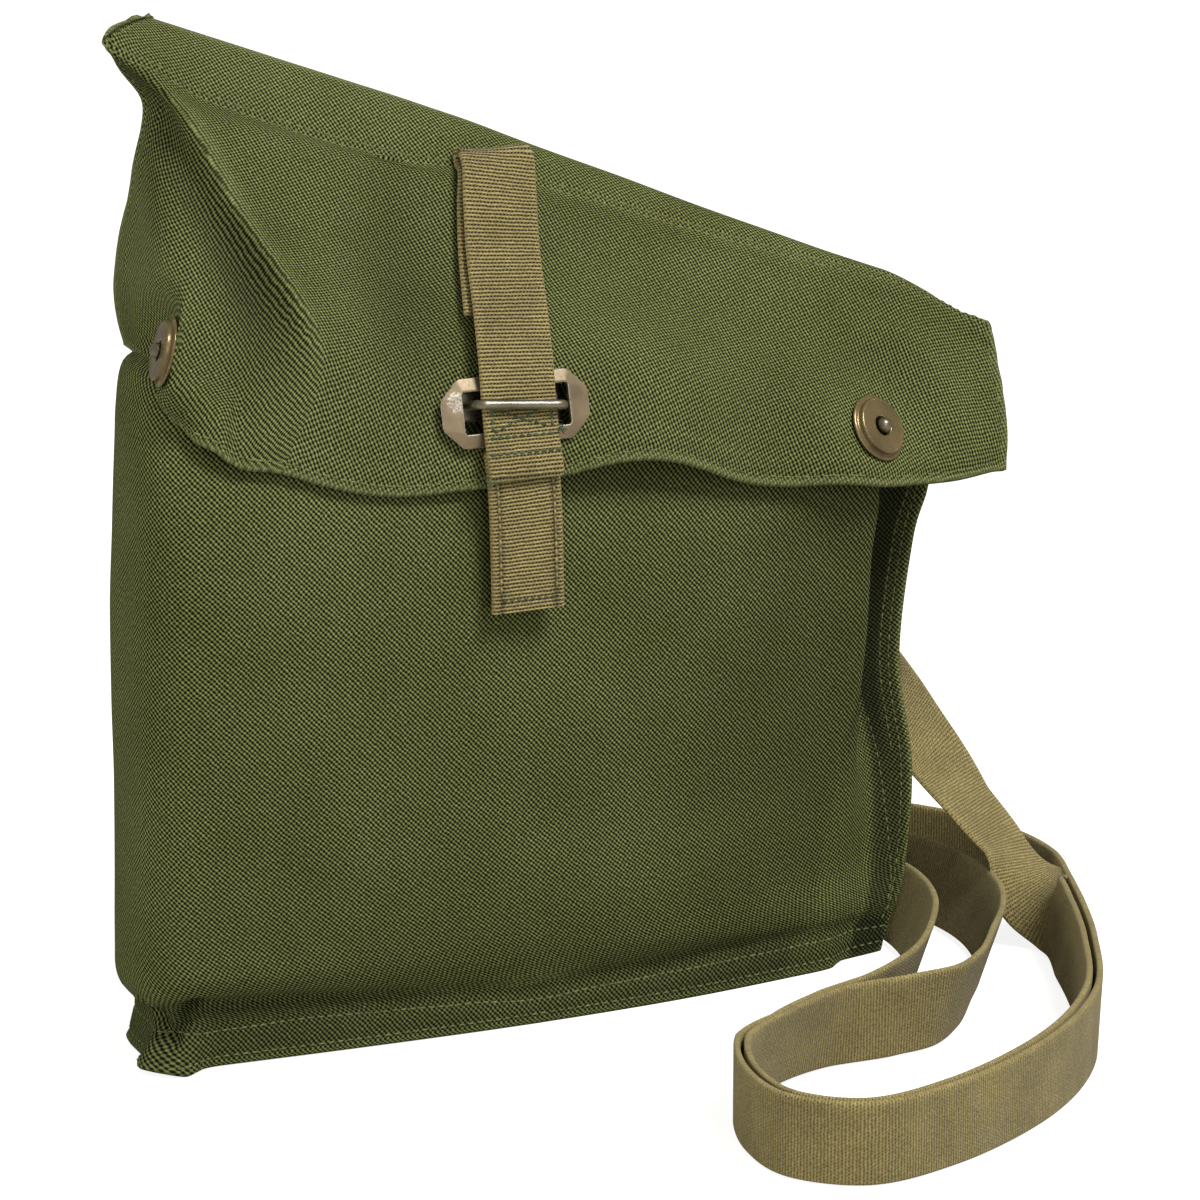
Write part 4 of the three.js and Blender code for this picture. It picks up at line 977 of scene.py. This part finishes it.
def webbing_material(name, settings, rib, hole):
    """Tan cotton webbing, woven in ribs across its length: each rib is a pale row of slanting yarns, with a
    row of dark holes between it and the next; its selvedges are paler, rubbed and with a painted edge
    highlight, and the tab's stitched grooves hold painted shade."""
    inputs = {"Roughness": 0.88, "Specular IOR Level": 0.2, "Sheen Weight": 0.08}
    material, tree, shader = new_material(name, inputs)
    place, along, up = cloth_axes(tree, 300.0, 0.0004)
    slant = worked(tree, "MULTIPLY_ADD", up, 0.5, along)
    yarn, row = (ranged(tree, yarn_wave(tree, value, rib), -1.0, 1.0) for value in (slant, up))
    valley = worked(tree, "MULTIPLY", yarn, 0.5)
    crest = worked(tree, "MULTIPLY_ADD", yarn, -0.3, 1.0)
    weave = blend(tree, row, valley, crest)
    base = mixed(tree, ranged(tree, weave, hole, 0.85), settings.gap, settings.colour)
    patch = ranged(tree, noise(tree, place, 55.0, 5.0, 0.7)[0], 0.3, 0.7, 0.78, 1.2)
    mottled = mixed(tree, 1.0, base, patch, "MULTIPLY")
    # Rubbing and the painted edge highlight pale the webbing; dirt and painted shade darken it.
    look = {"fleck": 1100.0, "rubbed": 0.8, "dirt_and_painted_shade": 0.3, "fleck_rise": 0.4, "strength": 0.8, "depth": 0.0004}
    weathered_with_painted_shading(tree, shader, place, mottled, settings.worn, weave, look)
    return material


def fitting_material(name, colour, bare, metal, roughness, worn_at):
    """Metal with a finish worn through along its edges: fine grains break up its shine, and where the wear
    and a crumbly grain pass a limit the brighter, rougher bare metal shows. On the snap caps' rolled rims
    that paler colour is also a painted highlight."""
    material, tree, shader = new_material(name, {"Metallic": metal})
    place = add_node(tree, "ShaderNodeTexCoord").outputs["Object"]
    grain, cloud = noise(tree, place, 1500.0, 3.0, 0.7)[0], noise(tree, place, 130.0, 3.0)[0]
    crumb = worked(tree, "MULTIPLY_ADD", grain, 1.1, wear_and_painted_shading_of(tree))
    clouded = mixed(tree, 1.0, colour, ranged(tree, cloud, 0.3, 0.7, 0.75, 1.2), "MULTIPLY")
    feed(tree, shader, {
        "Base Color": mixed(tree, ranged(tree, crumb, worn_at, worn_at + 0.2), clouded, bare),
        "Roughness": ranged(tree, grain, 0.3, 0.7, roughness - 0.06, roughness + 0.1),
        "Normal": relief(tree, crumb, 0.05, 0.0002),
    })
    return material


def thread_material(name, colour):
    """Twisted sewing cotton, a touch shinier than the cloth it holds, uneven from stitch to stitch."""
    material, tree, shader = new_material(name, {"Roughness": 0.75, "Specular IOR Level": 0.3})
    place = add_node(tree, "ShaderNodeTexCoord").outputs["Object"]
    share = ranged(tree, noise(tree, place, 260.0, 3.0)[0], 0.3, 0.7, 0.55, 1.35)
    feed(tree, shader, {"Base Color": mixed(tree, 1.0, colour, share, "MULTIPLY")})
    return material


# Settings


def colour_setting(name, description, colour):
    """A colour that a user can change, from an sRGB hex default."""
    return bpy.props.FloatVectorProperty(name=name, description=description, subtype="COLOR", size=4,
                                         default=to_linear(colour))


def length_setting(name, description, length):
    """A length that a user can change, from a default in mm."""
    return bpy.props.FloatProperty(name=name, description=description, default=length * MM, unit="LENGTH")


class CanvasSettings(bpy.types.PropertyGroup):
    """Olive canvas of the body and the flap."""

    thickness: length_setting("Canvas thickness", "Thickness of one canvas wall", 1.6)
    thread_pitch: length_setting("Thread pitch", "Distance from one canvas thread to the next", 0.8)
    colour: colour_setting("Thread colour", "Colour of the raised canvas threads", "#868d54")
    gap: colour_setting("Gap colour", "Colour between the canvas threads", "#0f1107")
    patch: colour_setting("Uneven dye", "Tint of the darker patches of the dye", "#c8c09c")
    # Also the colour of the painted light on the flap's left side.
    worn: colour_setting("Worn colour", "Colour of rubbed canvas edges", "#8f9263")
    thread: colour_setting("Stitch colour", "Colour of the sewing thread", "#686c42")


class WebbingSettings(bpy.types.PropertyGroup):
    """Tan webbing of the straps."""

    closing_width: length_setting("Closing strap width", "Width of the closing strap", 23.8)
    tab_width: length_setting("Pull tab width", "Width of the pull tab", 23.2)
    shoulder_width: length_setting("Shoulder strap width", "Width of the shoulder strap", 25)
    thickness: length_setting("Webbing thickness", "Thickness of the webbing", 2)
    tab_thickness: length_setting("Pull tab thickness", "Thickness of the folded pull tab", 2.6)
    colour: colour_setting("Webbing colour", "Colour of the raised webbing threads", "#a89863")
    gap: colour_setting("Webbing gap colour", "Colour of the holes between the ribs", "#1d1604")
    # Also the colour of the selvedges' painted edge highlight.
    worn: colour_setting("Webbing worn colour", "Colour of the rubbed selvedges", "#85764a")
    thread: colour_setting("Fastening thread", "Colour of the thread that sews the closing strap", "#465640")
    tan_thread: colour_setting("Tab thread", "Colour of the thread along the pull tab's sides", "#8d8055")


class FittingSettings(bpy.types.PropertyGroup):
    """Lacquered and plated fittings."""

    lacquer: colour_setting("Lacquer", "Colour of the lacquered plate", "#86755a")
    cap: colour_setting("Cap lacquer", "Colour of the snap caps", "#766542")
    # Also the colour of the painted highlight on the caps' rolled rims.
    cap_edge: colour_setting("Cap edge", "Colour of the caps' rubbed rims", "#d9cdb0")
    nickel: colour_setting("Nickel", "Colour of the wire and the stud balls", "#8f8772")
    bare: colour_setting("Bare steel", "Colour of the steel where the lacquer is rubbed off", "#c9c2b4")
    wire: length_setting("Wire", "Thickness of the staple's wire", 2.9)


class StageSettings(bpy.types.PropertyGroup):
    """Floor, light and camera."""

    floor: colour_setting("Floor", "Colour of the pale floor", "#b4b2ac")
    room: colour_setting("Room", "Colour of the pale room's light", "#f6f6f4")
    ambient: bpy.props.FloatProperty(
        name="Ambient", description="Strength of the pale room's light", default=0.38)
    floor_glow: bpy.props.FloatProperty(
        name="Floor glow", description="White of the lit table as the camera sees it", default=0.85)
    camera_azimuth: bpy.props.FloatProperty(
        name="Camera azimuth", description="Turn of the camera round the bag", default=np.radians(-22),
        subtype="ANGLE")
    camera_elevation: bpy.props.FloatProperty(
        name="Camera elevation", description="Height of the camera over the floor, as an angle",
        default=np.radians(15), subtype="ANGLE")
    camera_distance: length_setting("Camera distance", "Distance from the camera to what it looks at", 2300)
    target: bpy.props.FloatVectorProperty(
        name="Target", description="Point that the camera looks at", default=(0.0355, 0.02003, 0.11893),
        subtype="XYZ", unit="LENGTH")
    lens: bpy.props.FloatProperty(
        name="Lens", description="Focal length on a 36 mm sensor, in millimetres", default=227.7)


# Pieces


def flap_strip(route):
    """A strap's centre line and its across direction over the flap: each row of the route stands its own
    distance off the flap's point at that height, and below the hem it hangs straight down."""
    across, down = flap_place(CLOSURE["x"] + route["side"], route["z"])
    point, right, _, out = flap_frames(across, down)
    middle = spot_frame(CLOSURE)[1]
    point[:, 2] = np.minimum(point[:, 2], route["z"])
    knots = point + out * route["off"][:, None]
    sideways = unit(lerp(right, middle, STRIP_SQUARE))
    places = even_places(lambda t: spline(knots, t), len(knots) - 1, STRIP_SPACING)
    return spline(knots, places), unit(spline(sideways, places))


def shoulder_route():
    """The shoulder strap's knots with their tips: the rise, one layer of the doubled run, the near and far
    returns, the other layer back, and the tail."""
    doubled = np.array(STRAP_DOUBLED)
    ahead = unit(np.gradient(doubled[:, :2], axis=0))
    beside = np.stack([ahead[:, 1], -ahead[:, 0], 0 * ahead[:, 0], 0 * ahead[:, 0]], 1) * LAYER_PITCH / 2
    laid = lambda points: np.array([(x, y, ON_FLOOR, LOOP_TIP) for x, y in points])
    return np.concatenate([np.array(STRAP_RISE), doubled + beside, laid(NEAR_RETURN), laid(FAR_RETURN),
                           (doubled - beside)[::-1], np.array(STRAP_TAIL)])


def add_stitches(name, rows, material, slot, **sizes):
    """One object for several rows of stitches, each a pair of points and normals."""
    return add_piece(name, *joined([stitch_row(*row, **sizes) for row in rows]), material, slot)


def on_strap(centre, across, face, side, back):
    """Points and normals on the outer face of a strap that runs down, at distances to the side of its middle
    and back from its end."""
    run = lengths(centre)
    out = np.cross(unit(np.gradient(centre, axis=0)), across)
    middle, width, normal = (read_along(run, run[-1] - back, values) for values in (centre, across, out))
    normal = unit(normal)
    return middle + width * side[:, None] + normal * face, normal


def strap_lines(centre, across, face, lines):
    """Rows on a strap's outer face, from the side and back of each line's start and end."""
    share = np.linspace(0, 1, 40)
    return [on_strap(centre, across, face, lerp(a, c, share), lerp(b, d, share)) for a, b, c, d in lines]


def add_tufts(name, ends, material):
    """Loose thread ends: each is a thin bar along a curve that sets out and wanders by seeded steps."""
    chance = np.random.default_rng(TUFT["seed"])
    knots = TUFT["knots"]
    parts = []
    for point, heading in ends:
        for _ in range(TUFT["threads"]):
            steps = np.array(heading) * 0.5 + np.cumsum(chance.normal(0, TUFT["stray"], (knots, 3)), 0)
            line = np.concatenate([[point], point + np.cumsum(unit(steps), 0) * TUFT["length"] / knots])
            smooth = spline(line, np.linspace(0, knots, 28))
            parts.append(tube(smooth, TUFT["radius"], np.array([0.31, 0.83, 0.46]), 6))
    return add_piece(name, *joined(parts), material, "webbing")


def selvedge(uv, width, dirt=0.0, groove=None):
    """Lightening and darkening of a webbing band: paler at its edges, rubbed and with a painted edge
    highlight, dirt all over, and painted shade in its stitched grooves.
    """
    side = np.abs(uv[:, 0])
    # Paler edges: rubbed selvedges with a painted edge highlight.
    wear = 0.6 * smoothstep(side, width / 2 - 1.3, width / 2 - 0.3)
    # Painted shade in the stitched grooves, and dirt all over.
    return wear - (0.9 * swell(side, width / 2 - groove, 0.55) if groove else 0) - dirt


class BAG_OT_shoulder_strap(bpy.types.Operator):
    """Lay the shoulder strap: a flat webbing band along its route, standing on edge on the floor"""

    bl_idname = "bag.shoulder_strap"
    bl_label = "Shoulder strap"

    def execute(self, context):
        settings = context.scene.bag_webbing
        route = shoulder_route()
        places = even_places(lambda t: spline(route[:, :3], t), len(route) - 1, STRAP_SPACING)
        centre, tip = spline(route[:, :3], places), np.interp(places, np.arange(len(route)), route[:, 3])
        back = np.interp(places, np.arange(len(RISE_LEAN)), RISE_LEAN)
        upright = np.stack([tip, back, 1 + 0 * tip], 1)
        centre[:, 2] = np.maximum(centre[:, 2], ON_FLOOR)
        width, weave = settings.shoulder_width / MM, SHOULDER_WEAVE
        material = webbing_material("Tan shoulder webbing", settings, weave["rib"] * MM, weave["hole"])
        points, faces, uv = ribbon(centre, upright, width, settings.thickness / MM)
        strap = add_piece("webbing_shoulder_strap", points, faces, material, "webbing", ("shoulder_strap",),
                          uv, selvedge(uv, width, weave["dirt"]))
        return {"FINISHED"}


class BAG_OT_body(bpy.types.Operator):
    """Sew the body: the front panel that wraps the left side, the flat back and the floor"""

    bl_idname = "bag.body"
    bl_label = "Body"

    def execute(self, context):
        settings = context.scene.bag_canvas
        material = canvas_material(settings)
        thread = thread_material("Olive sewing thread", settings.thread)
        thickness = settings.thickness / MM
        cloths = {"canvas_front": ("front_panel", body_cloth()), "canvas_back": ("back_panel", back_cloth()),
                  "canvas_bottom": ("bottom_panel", floor_cloth())}
        for name, (node, (grid, normals, uv, wear)) in cloths.items():
            points, faces, source = cloth_shell(grid, normals, thickness)
            points[:, 2] = np.maximum(points[:, 2], 0)
            add_piece(name, points, faces, material, "canvas", (node,),
                                     uv.reshape(-1, 2)[source], wear.ravel()[source])
        grid, normals, uv, _ = body_cloth()
        around, z = uv[..., 0], grid[..., 2]
        from_tip = (around - around[:, -1:]).T
        high = grid[:, -1, 2]
        upright, facing = turned_grid(grid), turned_grid(normals)
        slope = np.interp(high, GUSSET_ROW["z"], GUSSET_ROW["from_tip"])
        gusset = (high > GUSSET_ROW["z"][0]) & (high < GUSSET_ROW["z"][-1])
        rows = [
            seam(grid, normals, z - foot_line("row", grid[..., 0])),
            seam(grid, normals, z, LOWER_ROW),
            *(seam(upright, facing, from_tip, -inset, high > start) for inset, start in FLANGE_ROWS),
            seam(upright, facing, from_tip + slope, 0, gusset),
        ]
        front_thread = add_stitches("thread_front", rows, thread, "canvas")
        grid, normals, _, _ = back_cloth()
        upright, facing, sewn = turned_grid(grid), turned_grid(normals), grid[:, -1, 2] > BACK_ROW_FROM
        rows = [
            seam(grid, normals, grid[..., 2], BACK["row"]),
            seam(upright, facing, -upright[..., 0], -BACK["left"] - BACK["row"], sewn),
            seam(upright, facing, upright[:1, :, 0] - upright[..., 0], BACK["row"], sewn),
        ]
        back_thread = add_stitches("thread_back", rows, thread, "canvas")
        return {"FINISHED"}


class BAG_OT_flap(bpy.types.Operator):
    """Fold the flap over the top of the bag, with holes behind the eyelet plate and the snaps"""

    bl_idname = "bag.flap"
    bl_label = "Flap"

    def execute(self, context):
        settings = context.scene.bag_canvas
        material = bpy.data.materials["Olive cotton canvas"]
        grid, normals, uv, wear = flap_cloth()
        point, *axes = spot_frame(CLOSURE)
        middle = (grid[1:, 1:] + grid[:-1, :-1]) / 2
        cut = np.all([np.abs((middle - point) @ axis) < half for axis, half in zip(axes, SLOT_HOLE)], axis=0)
        for snap in (LEFT_SNAP, RIGHT_SNAP):
            cut |= np.linalg.norm(middle - spot_frame(snap)[0], axis=-1) < SNAP_HOLE
        shown, facing, hole = (values[:, ::-1] for values in (grid, normals, cut))
        points, faces, source = cloth_shell(shown, facing, settings.thickness / MM, hole)
        flap = add_piece("canvas_flap", points, faces, material, "canvas", ("flap",),
                         uv[:, ::-1].reshape(-1, 2)[source], wear[:, ::-1].ravel()[source])
        _, fallen, to_hem, from_brow = flap_runs(grid)
        fall = fallen - fallen[:1]
        to_left, to_right = lengths(grid, 1), lengths(grid[:, ::-1], 1)[:, ::-1]
        upright, facing = turned_grid(grid), turned_grid(normals)
        front = fallen[:, 0] > SIDE_ROW_FROM
        lines = [(-to_hem, -HEM_ROW), *((fall, inset) for inset in FLAP_BACK_ROWS), (from_brow, -BROW_ROW),
                 (from_brow, BROW_ROW)]
        rows = [seam(grid, normals, run, wanted, slice(2, -2)) for run, wanted in lines]
        sides = ((to_left, HEM_ROW), (-to_right, -HEM_ROW))
        rows += [seam(upright, facing, run.T, wanted, front) for run, wanted in sides]
        sewn = add_stitches("thread_flap", rows, bpy.data.materials["Olive sewing thread"], "canvas")
        return {"FINISHED"}


class BAG_OT_closing_strap(bpy.types.Operator):
    """Sew the doubled closing strap and its pull tab to the flap"""

    bl_idname = "bag.closing_strap"
    bl_label = "Closing strap"

    def execute(self, context):
        settings = context.scene.bag_webbing
        rib, hole, dirt = CLOSING_WEAVE.values()
        material = webbing_material("Tan ribbed webbing", settings, rib * MM, hole)
        green = thread_material("Grey-green fastening thread", settings.thread)
        tan = thread_material("Tan sewing thread", settings.tan_thread)
        width, thick = settings.closing_width / MM, settings.thickness / MM
        centre, across = flap_strip(CLOSING_ROUTE)
        points, faces, uv = ribbon(centre, across, width, thick, rib)
        strap = add_piece("webbing_closing_strap", points, faces, material, "webbing", ("closing_strap",), uv,
                          selvedge(uv, width, dirt))
        face = thick / 2 + STITCH_RAISE["strap"]
        sewn = add_stitches("thread_closing_strap", strap_lines(centre, across, face, FASTENING_LINES), green,
                            "webbing", **FASTENING_STITCH)
        ends = [(on_strap(centre, across, face, np.array([side]), np.array([back]))[0][0], heading)
                for side, back, heading in LOOSE_ENDS]
        loose = add_tufts("thread_tufts", ends, green)
        width, thick = settings.tab_width / MM, settings.tab_thickness / MM
        centre, across = flap_strip(TAB_ROUTE)
        points, faces, uv = ribbon(centre, across, width, thick, rib, TAB_GROOVE)
        tab = add_piece("webbing_pull_tab", points, faces, material, "webbing", ("pull_tab",), uv,
                        selvedge(uv, width, groove=TAB_GROOVE[0]))
        face, side = thick / 2 + STITCH_RAISE["tab"], width / 2 - TAB_GROOVE[0]
        lines = [(x, TAB_SEAM_TOP, x, TAB_HEM) for x in (-side, side)]
        sides = add_stitches("thread_tab_sides", strap_lines(centre, across, face, lines), tan, "webbing",
                             **TAB_SIDE_STITCH)
        lines = [(-side, TAB_HEM, side, TAB_HEM)]
        rows = strap_lines(centre, across, face + STITCH_RAISE["hem"], lines)
        hem = add_stitches("thread_tab_hem", rows, green, "webbing", **TAB_HEM_STITCH)
        return {"FINISHED"}


def clipped_outline(width, height, clip, ease):
    """A rectangle with clipped corners as points: along each side the same number of points, and round each
    corner a curve that starts and ends the easing length from it."""
    w, h = width / 2, height / 2
    corners = np.array([(w, clip - h), (w, h - clip), (w - clip, h), (clip - w, h), (-w, h - clip),
                        (-w, clip - h), (clip - w, -h), (w - clip, -h)])
    ahead = unit(np.roll(corners, -1, 0) - corners)
    before, after = corners - np.roll(ahead, 1, 0) * ease, corners + ahead * ease
    share = np.linspace(0, 1, 7)[:, None, None]
    bend = lerp(lerp(before, corners, share), lerp(corners, after, share), share)
    side = lerp(after, np.roll(before, -1, 0), np.linspace(0, 1, 16)[1:-1, None, None])
    return np.swapaxes(np.concatenate([bend, side]), 0, 1).reshape(-1, 2)


def placed(local, spot, lift=0.0):
    """Local points (right, up, out) put at a frame on the flap."""
    point, right, up, out = spot
    return point + local @ np.stack([right, up, out]) + out * lift


class BAG_OT_fittings(bpy.types.Operator):
    """Press the eyelet plate, bend the staple and turn the snaps"""

    bl_idname = "bag.fittings"
    bl_label = "Fittings"

    def execute(self, context):
        settings = context.scene.bag_fittings
        lacquer = fitting_material("Brown lacquered steel", settings.lacquer, settings.bare, 0.45, 0.42, 1.2)
        dark = fitting_material("Dark lacquered brass", settings.cap, settings.cap_edge, 0.5, 0.24, 1.1)
        nickel = fitting_material("Dull nickel plate", settings.nickel, settings.bare, 0.95, 0.3, 1.6)
        self.plate(lacquer)
        self.staple(nickel, settings.wire / MM)
        for name, snap in (("left", LEFT_SNAP), ("right", RIGHT_SNAP)):
            self.snap(name, spot_frame(snap), dark, nickel)
        return {"FINISHED"}

    def plate(self, material):
        """A ring between two clipped outlines, carried round a closed section."""
        outer, inner = clipped_outline(**PLATE), clipped_outline(**SLOT)
        share, high, wear = PLATE_SECTION.values()
        flat = lerp(outer[:, None], inner[:, None], share[:, None])
        local = np.concatenate([flat, np.broadcast_to(high[:, None], (*flat.shape[:2], 1))], -1)
        index = np.arange(flat.shape[0] * flat.shape[1]).reshape(flat.shape[:2])
        rubbed = np.hypot((flat[..., 0] - WORN_PATCH["right"]) / WORN_PATCH["wide"],
                          (flat[..., 1] - WORN_PATCH["up"]) / WORN_PATCH["high"])
        worn = np.maximum(wear, 0.75 * (1 - smoothstep(rubbed, 0.6, 1.1)))
        add_piece("steel_eyelet_plate", placed(local.reshape(-1, 3), spot_frame(CLOSURE), PLATE_LIFT),
                  cells(index, wrap_rows=True, wrap_columns=True)[:, ::-1], material, "lacquered_metal",
                  ("eyelet_plate",), wear=worn.ravel())

    def staple(self, material, wire):
        """A bent wire whose legs stand on a foot plate under the flap."""
        half, rise, bend, reach = (STAPLE[name] for name in ("half", "rise", "bend", "reach"))
        turn = np.linspace(0, np.pi / 2, 12)
        left = np.stack([-half + bend * (1 - np.cos(turn)), rise - bend * (1 - np.sin(turn))], 1)
        right = left[::-1] * (-1, 1)
        line = np.concatenate([[(-half, -reach)], left, right, [(half, -reach)]])
        places = even_places(lambda t: spline(line, t), len(line) - 1, 0.5)
        path = spline(line, places)
        centre = np.stack([path[:, 0], 0 * path[:, 0], path[:, 1]], 1)
        share = np.linspace(-1, 1, 24)
        foot = np.stack([share * STAPLE["foot"], 0 * share, 0 * share - reach], 1)
        upwards = np.array([0.0, 1, 0])
        plate = ribbon(foot, upwards, STAPLE["foot_width"], STAPLE["foot_thick"])[:2]
        points, faces = joined([tube(centre, wire / 2, upwards, 20), plate])
        lean = np.radians(STAPLE["lean"])
        side, up, out = points.T
        turned_side = side * np.cos(lean) - up * np.sin(lean)
        turned_up = side * np.sin(lean) + up * np.cos(lean) + STAPLE["up"]
        points = np.stack([turned_side, turned_up, out], 1)
        add_piece("nickel_staple", placed(points, spot_frame(CLOSURE)), faces, material, "bare_metal",
                  ("staple",), wear=np.zeros(len(points)))

    def snap(self, name, spot, dark, nickel):
        """A dished cap with a rolled rim and a few dents, and the ball of the stud that stands in it."""
        points, faces = turned(CAP_SECTION["radius"], CAP_SECTION["high"])
        # The pale band on the cap's rolled rim is rubbed lacquer and a painted highlight.
        wear = np.repeat(CAP_SECTION["wear"], len(points) // len(CAP_SECTION["wear"]))
        top = points[:, 2] > CAP_TOP
        for right, up, reach, depth in zip(*CAP_DIMPLES.values()):
            apart = np.hypot(points[:, 0] - right, points[:, 1] - up)
            points[:, 2] -= top * depth * np.exp(-((apart / reach) ** 2))
        add_piece(f"lacquered_snap_cap_{name}", placed(points, spot, CAP_LIFT), faces, dark,
                  "lacquered_metal", (f"snap_socket_{name}",), wear=wear)
        ball, centre, post, foot, thick, reach = STUD.values()
        turn = np.linspace(-np.arccos(post / ball), np.pi / 2, 14)
        radius = np.concatenate([[0, foot, foot, post], ball * np.cos(turn[:-1]), [0]])
        high = np.concatenate([[-reach, -reach, thick - reach, thick - reach], centre + ball * np.sin(turn)])
        points, faces = turned(radius, high, 40)
        add_piece(f"nickel_snap_stud_{name}", placed(points, spot), faces, nickel, "bare_metal",
                  (f"snap_stud_{name}",), wear=np.zeros(len(points)))


# The soft lights of the stage: place, power and size in metres. The left one shows no reflection.
LAMPS = {
    "top": ((0.7, -1.1, 2.0), 52, 0.7),
    "front": ((0.2, -2.2, 0.9), 7, 1.2),
    "left": ((-1.9, -0.4, 0.5), 15, 0.9),
}
FLOOR_HALF = 6.0


class BAG_OT_stage(bpy.types.Operator):
    """Set the pale floor, the soft studio light and the camera"""

    bl_idname = "bag.stage"
    bl_label = "Stage"

    def execute(self, context):
        settings = context.scene.bag_stage
        scene = context.scene
        scene.view_settings.view_transform = "Standard"
        inputs = {"Base Color": settings.floor, "Roughness": 0.9, "Emission Color": (1, 1, 1, 1)}
        material, tree, shader = new_material("Matt white board", inputs)
        seen = add_node(tree, "ShaderNodeLightPath").outputs["Is Camera Ray"]
        feed(tree, shader, {"Emission Strength": worked(tree, "MULTIPLY", seen, settings.floor_glow)})
        mesh = bpy.data.meshes.new("floor")
        signs = ((-1, -1), (1, -1), (1, 1), (-1, 1))
        mesh.from_pydata([(x * FLOOR_HALF, y * FLOOR_HALF, 0) for x, y in signs], [], [(0, 1, 2, 3)])
        mesh.materials.append(material)
        floor = bpy.data.objects.new("floor", mesh)
        scene.collection.objects.link(floor)
        world = bpy.data.worlds.new("Pale studio")
        world.use_nodes = True
        feed(world.node_tree, world.node_tree.nodes["Background"], {0: settings.room, 1: settings.ambient})
        scene.world = world
        target = Vector(settings.target)
        for name, (place, power, size) in LAMPS.items():
            light = bpy.data.lights.new(name, "AREA")
            light.energy, light.size = power, size
            lamp = bpy.data.objects.new(name, light)
            lamp.location = place
            lamp.visible_glossy = name != "left"
            lamp.rotation_euler = (target - Vector(place)).to_track_quat("-Z", "Y").to_euler()
            scene.collection.objects.link(lamp)
        turn, rise = settings.camera_azimuth, settings.camera_elevation
        ahead = Vector((-np.sin(turn) * np.cos(rise), np.cos(turn) * np.cos(rise), -np.sin(rise)))
        lens = bpy.data.cameras.new("camera")
        lens.lens, lens.sensor_width = settings.lens, 36
        camera = bpy.data.objects.new("camera", lens)
        camera.location = target - ahead * settings.camera_distance
        camera.rotation_euler = ahead.to_track_quat("-Z", "Y").to_euler()
        scene.collection.objects.link(camera)
        scene.camera = camera
        return {"FINISHED"}


STEPS = (BAG_OT_stage, BAG_OT_shoulder_strap, BAG_OT_body, BAG_OT_flap, BAG_OT_closing_strap, BAG_OT_fittings)
SETTINGS = {"bag_canvas": CanvasSettings, "bag_webbing": WebbingSettings, "bag_fittings": FittingSettings,
            "bag_stage": StageSettings}


class BAG_PT_panel(bpy.types.Panel):
    """Lists the bag's pieces in the order in which they are made"""

    bl_idname = "BAG_PT_panel"
    bl_label = "Gas mask bag"
    bl_space_type = "VIEW_3D"
    bl_region_type = "UI"
    bl_category = "Bag"

    def draw(self, context):
        for step in STEPS:
            self.layout.operator(step.bl_idname)


def register():
    for kind in (*SETTINGS.values(), *STEPS, BAG_PT_panel):
        bpy.utils.register_class(kind)
    for name, kind in SETTINGS.items():
        setattr(bpy.types.Scene, name, bpy.props.PointerProperty(type=kind))


def unregister():
    for name in SETTINGS:
        delattr(bpy.types.Scene, name)
    for kind in reversed((*SETTINGS.values(), *STEPS, BAG_PT_panel)):
        bpy.utils.unregister_class(kind)


def main():
    """Registers the add-on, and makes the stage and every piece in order."""
    register()
    for step in STEPS:
        group, name = step.bl_idname.split(".")
        getattr(getattr(bpy.ops, group), name)()


if __name__ == "__main__":
    main()
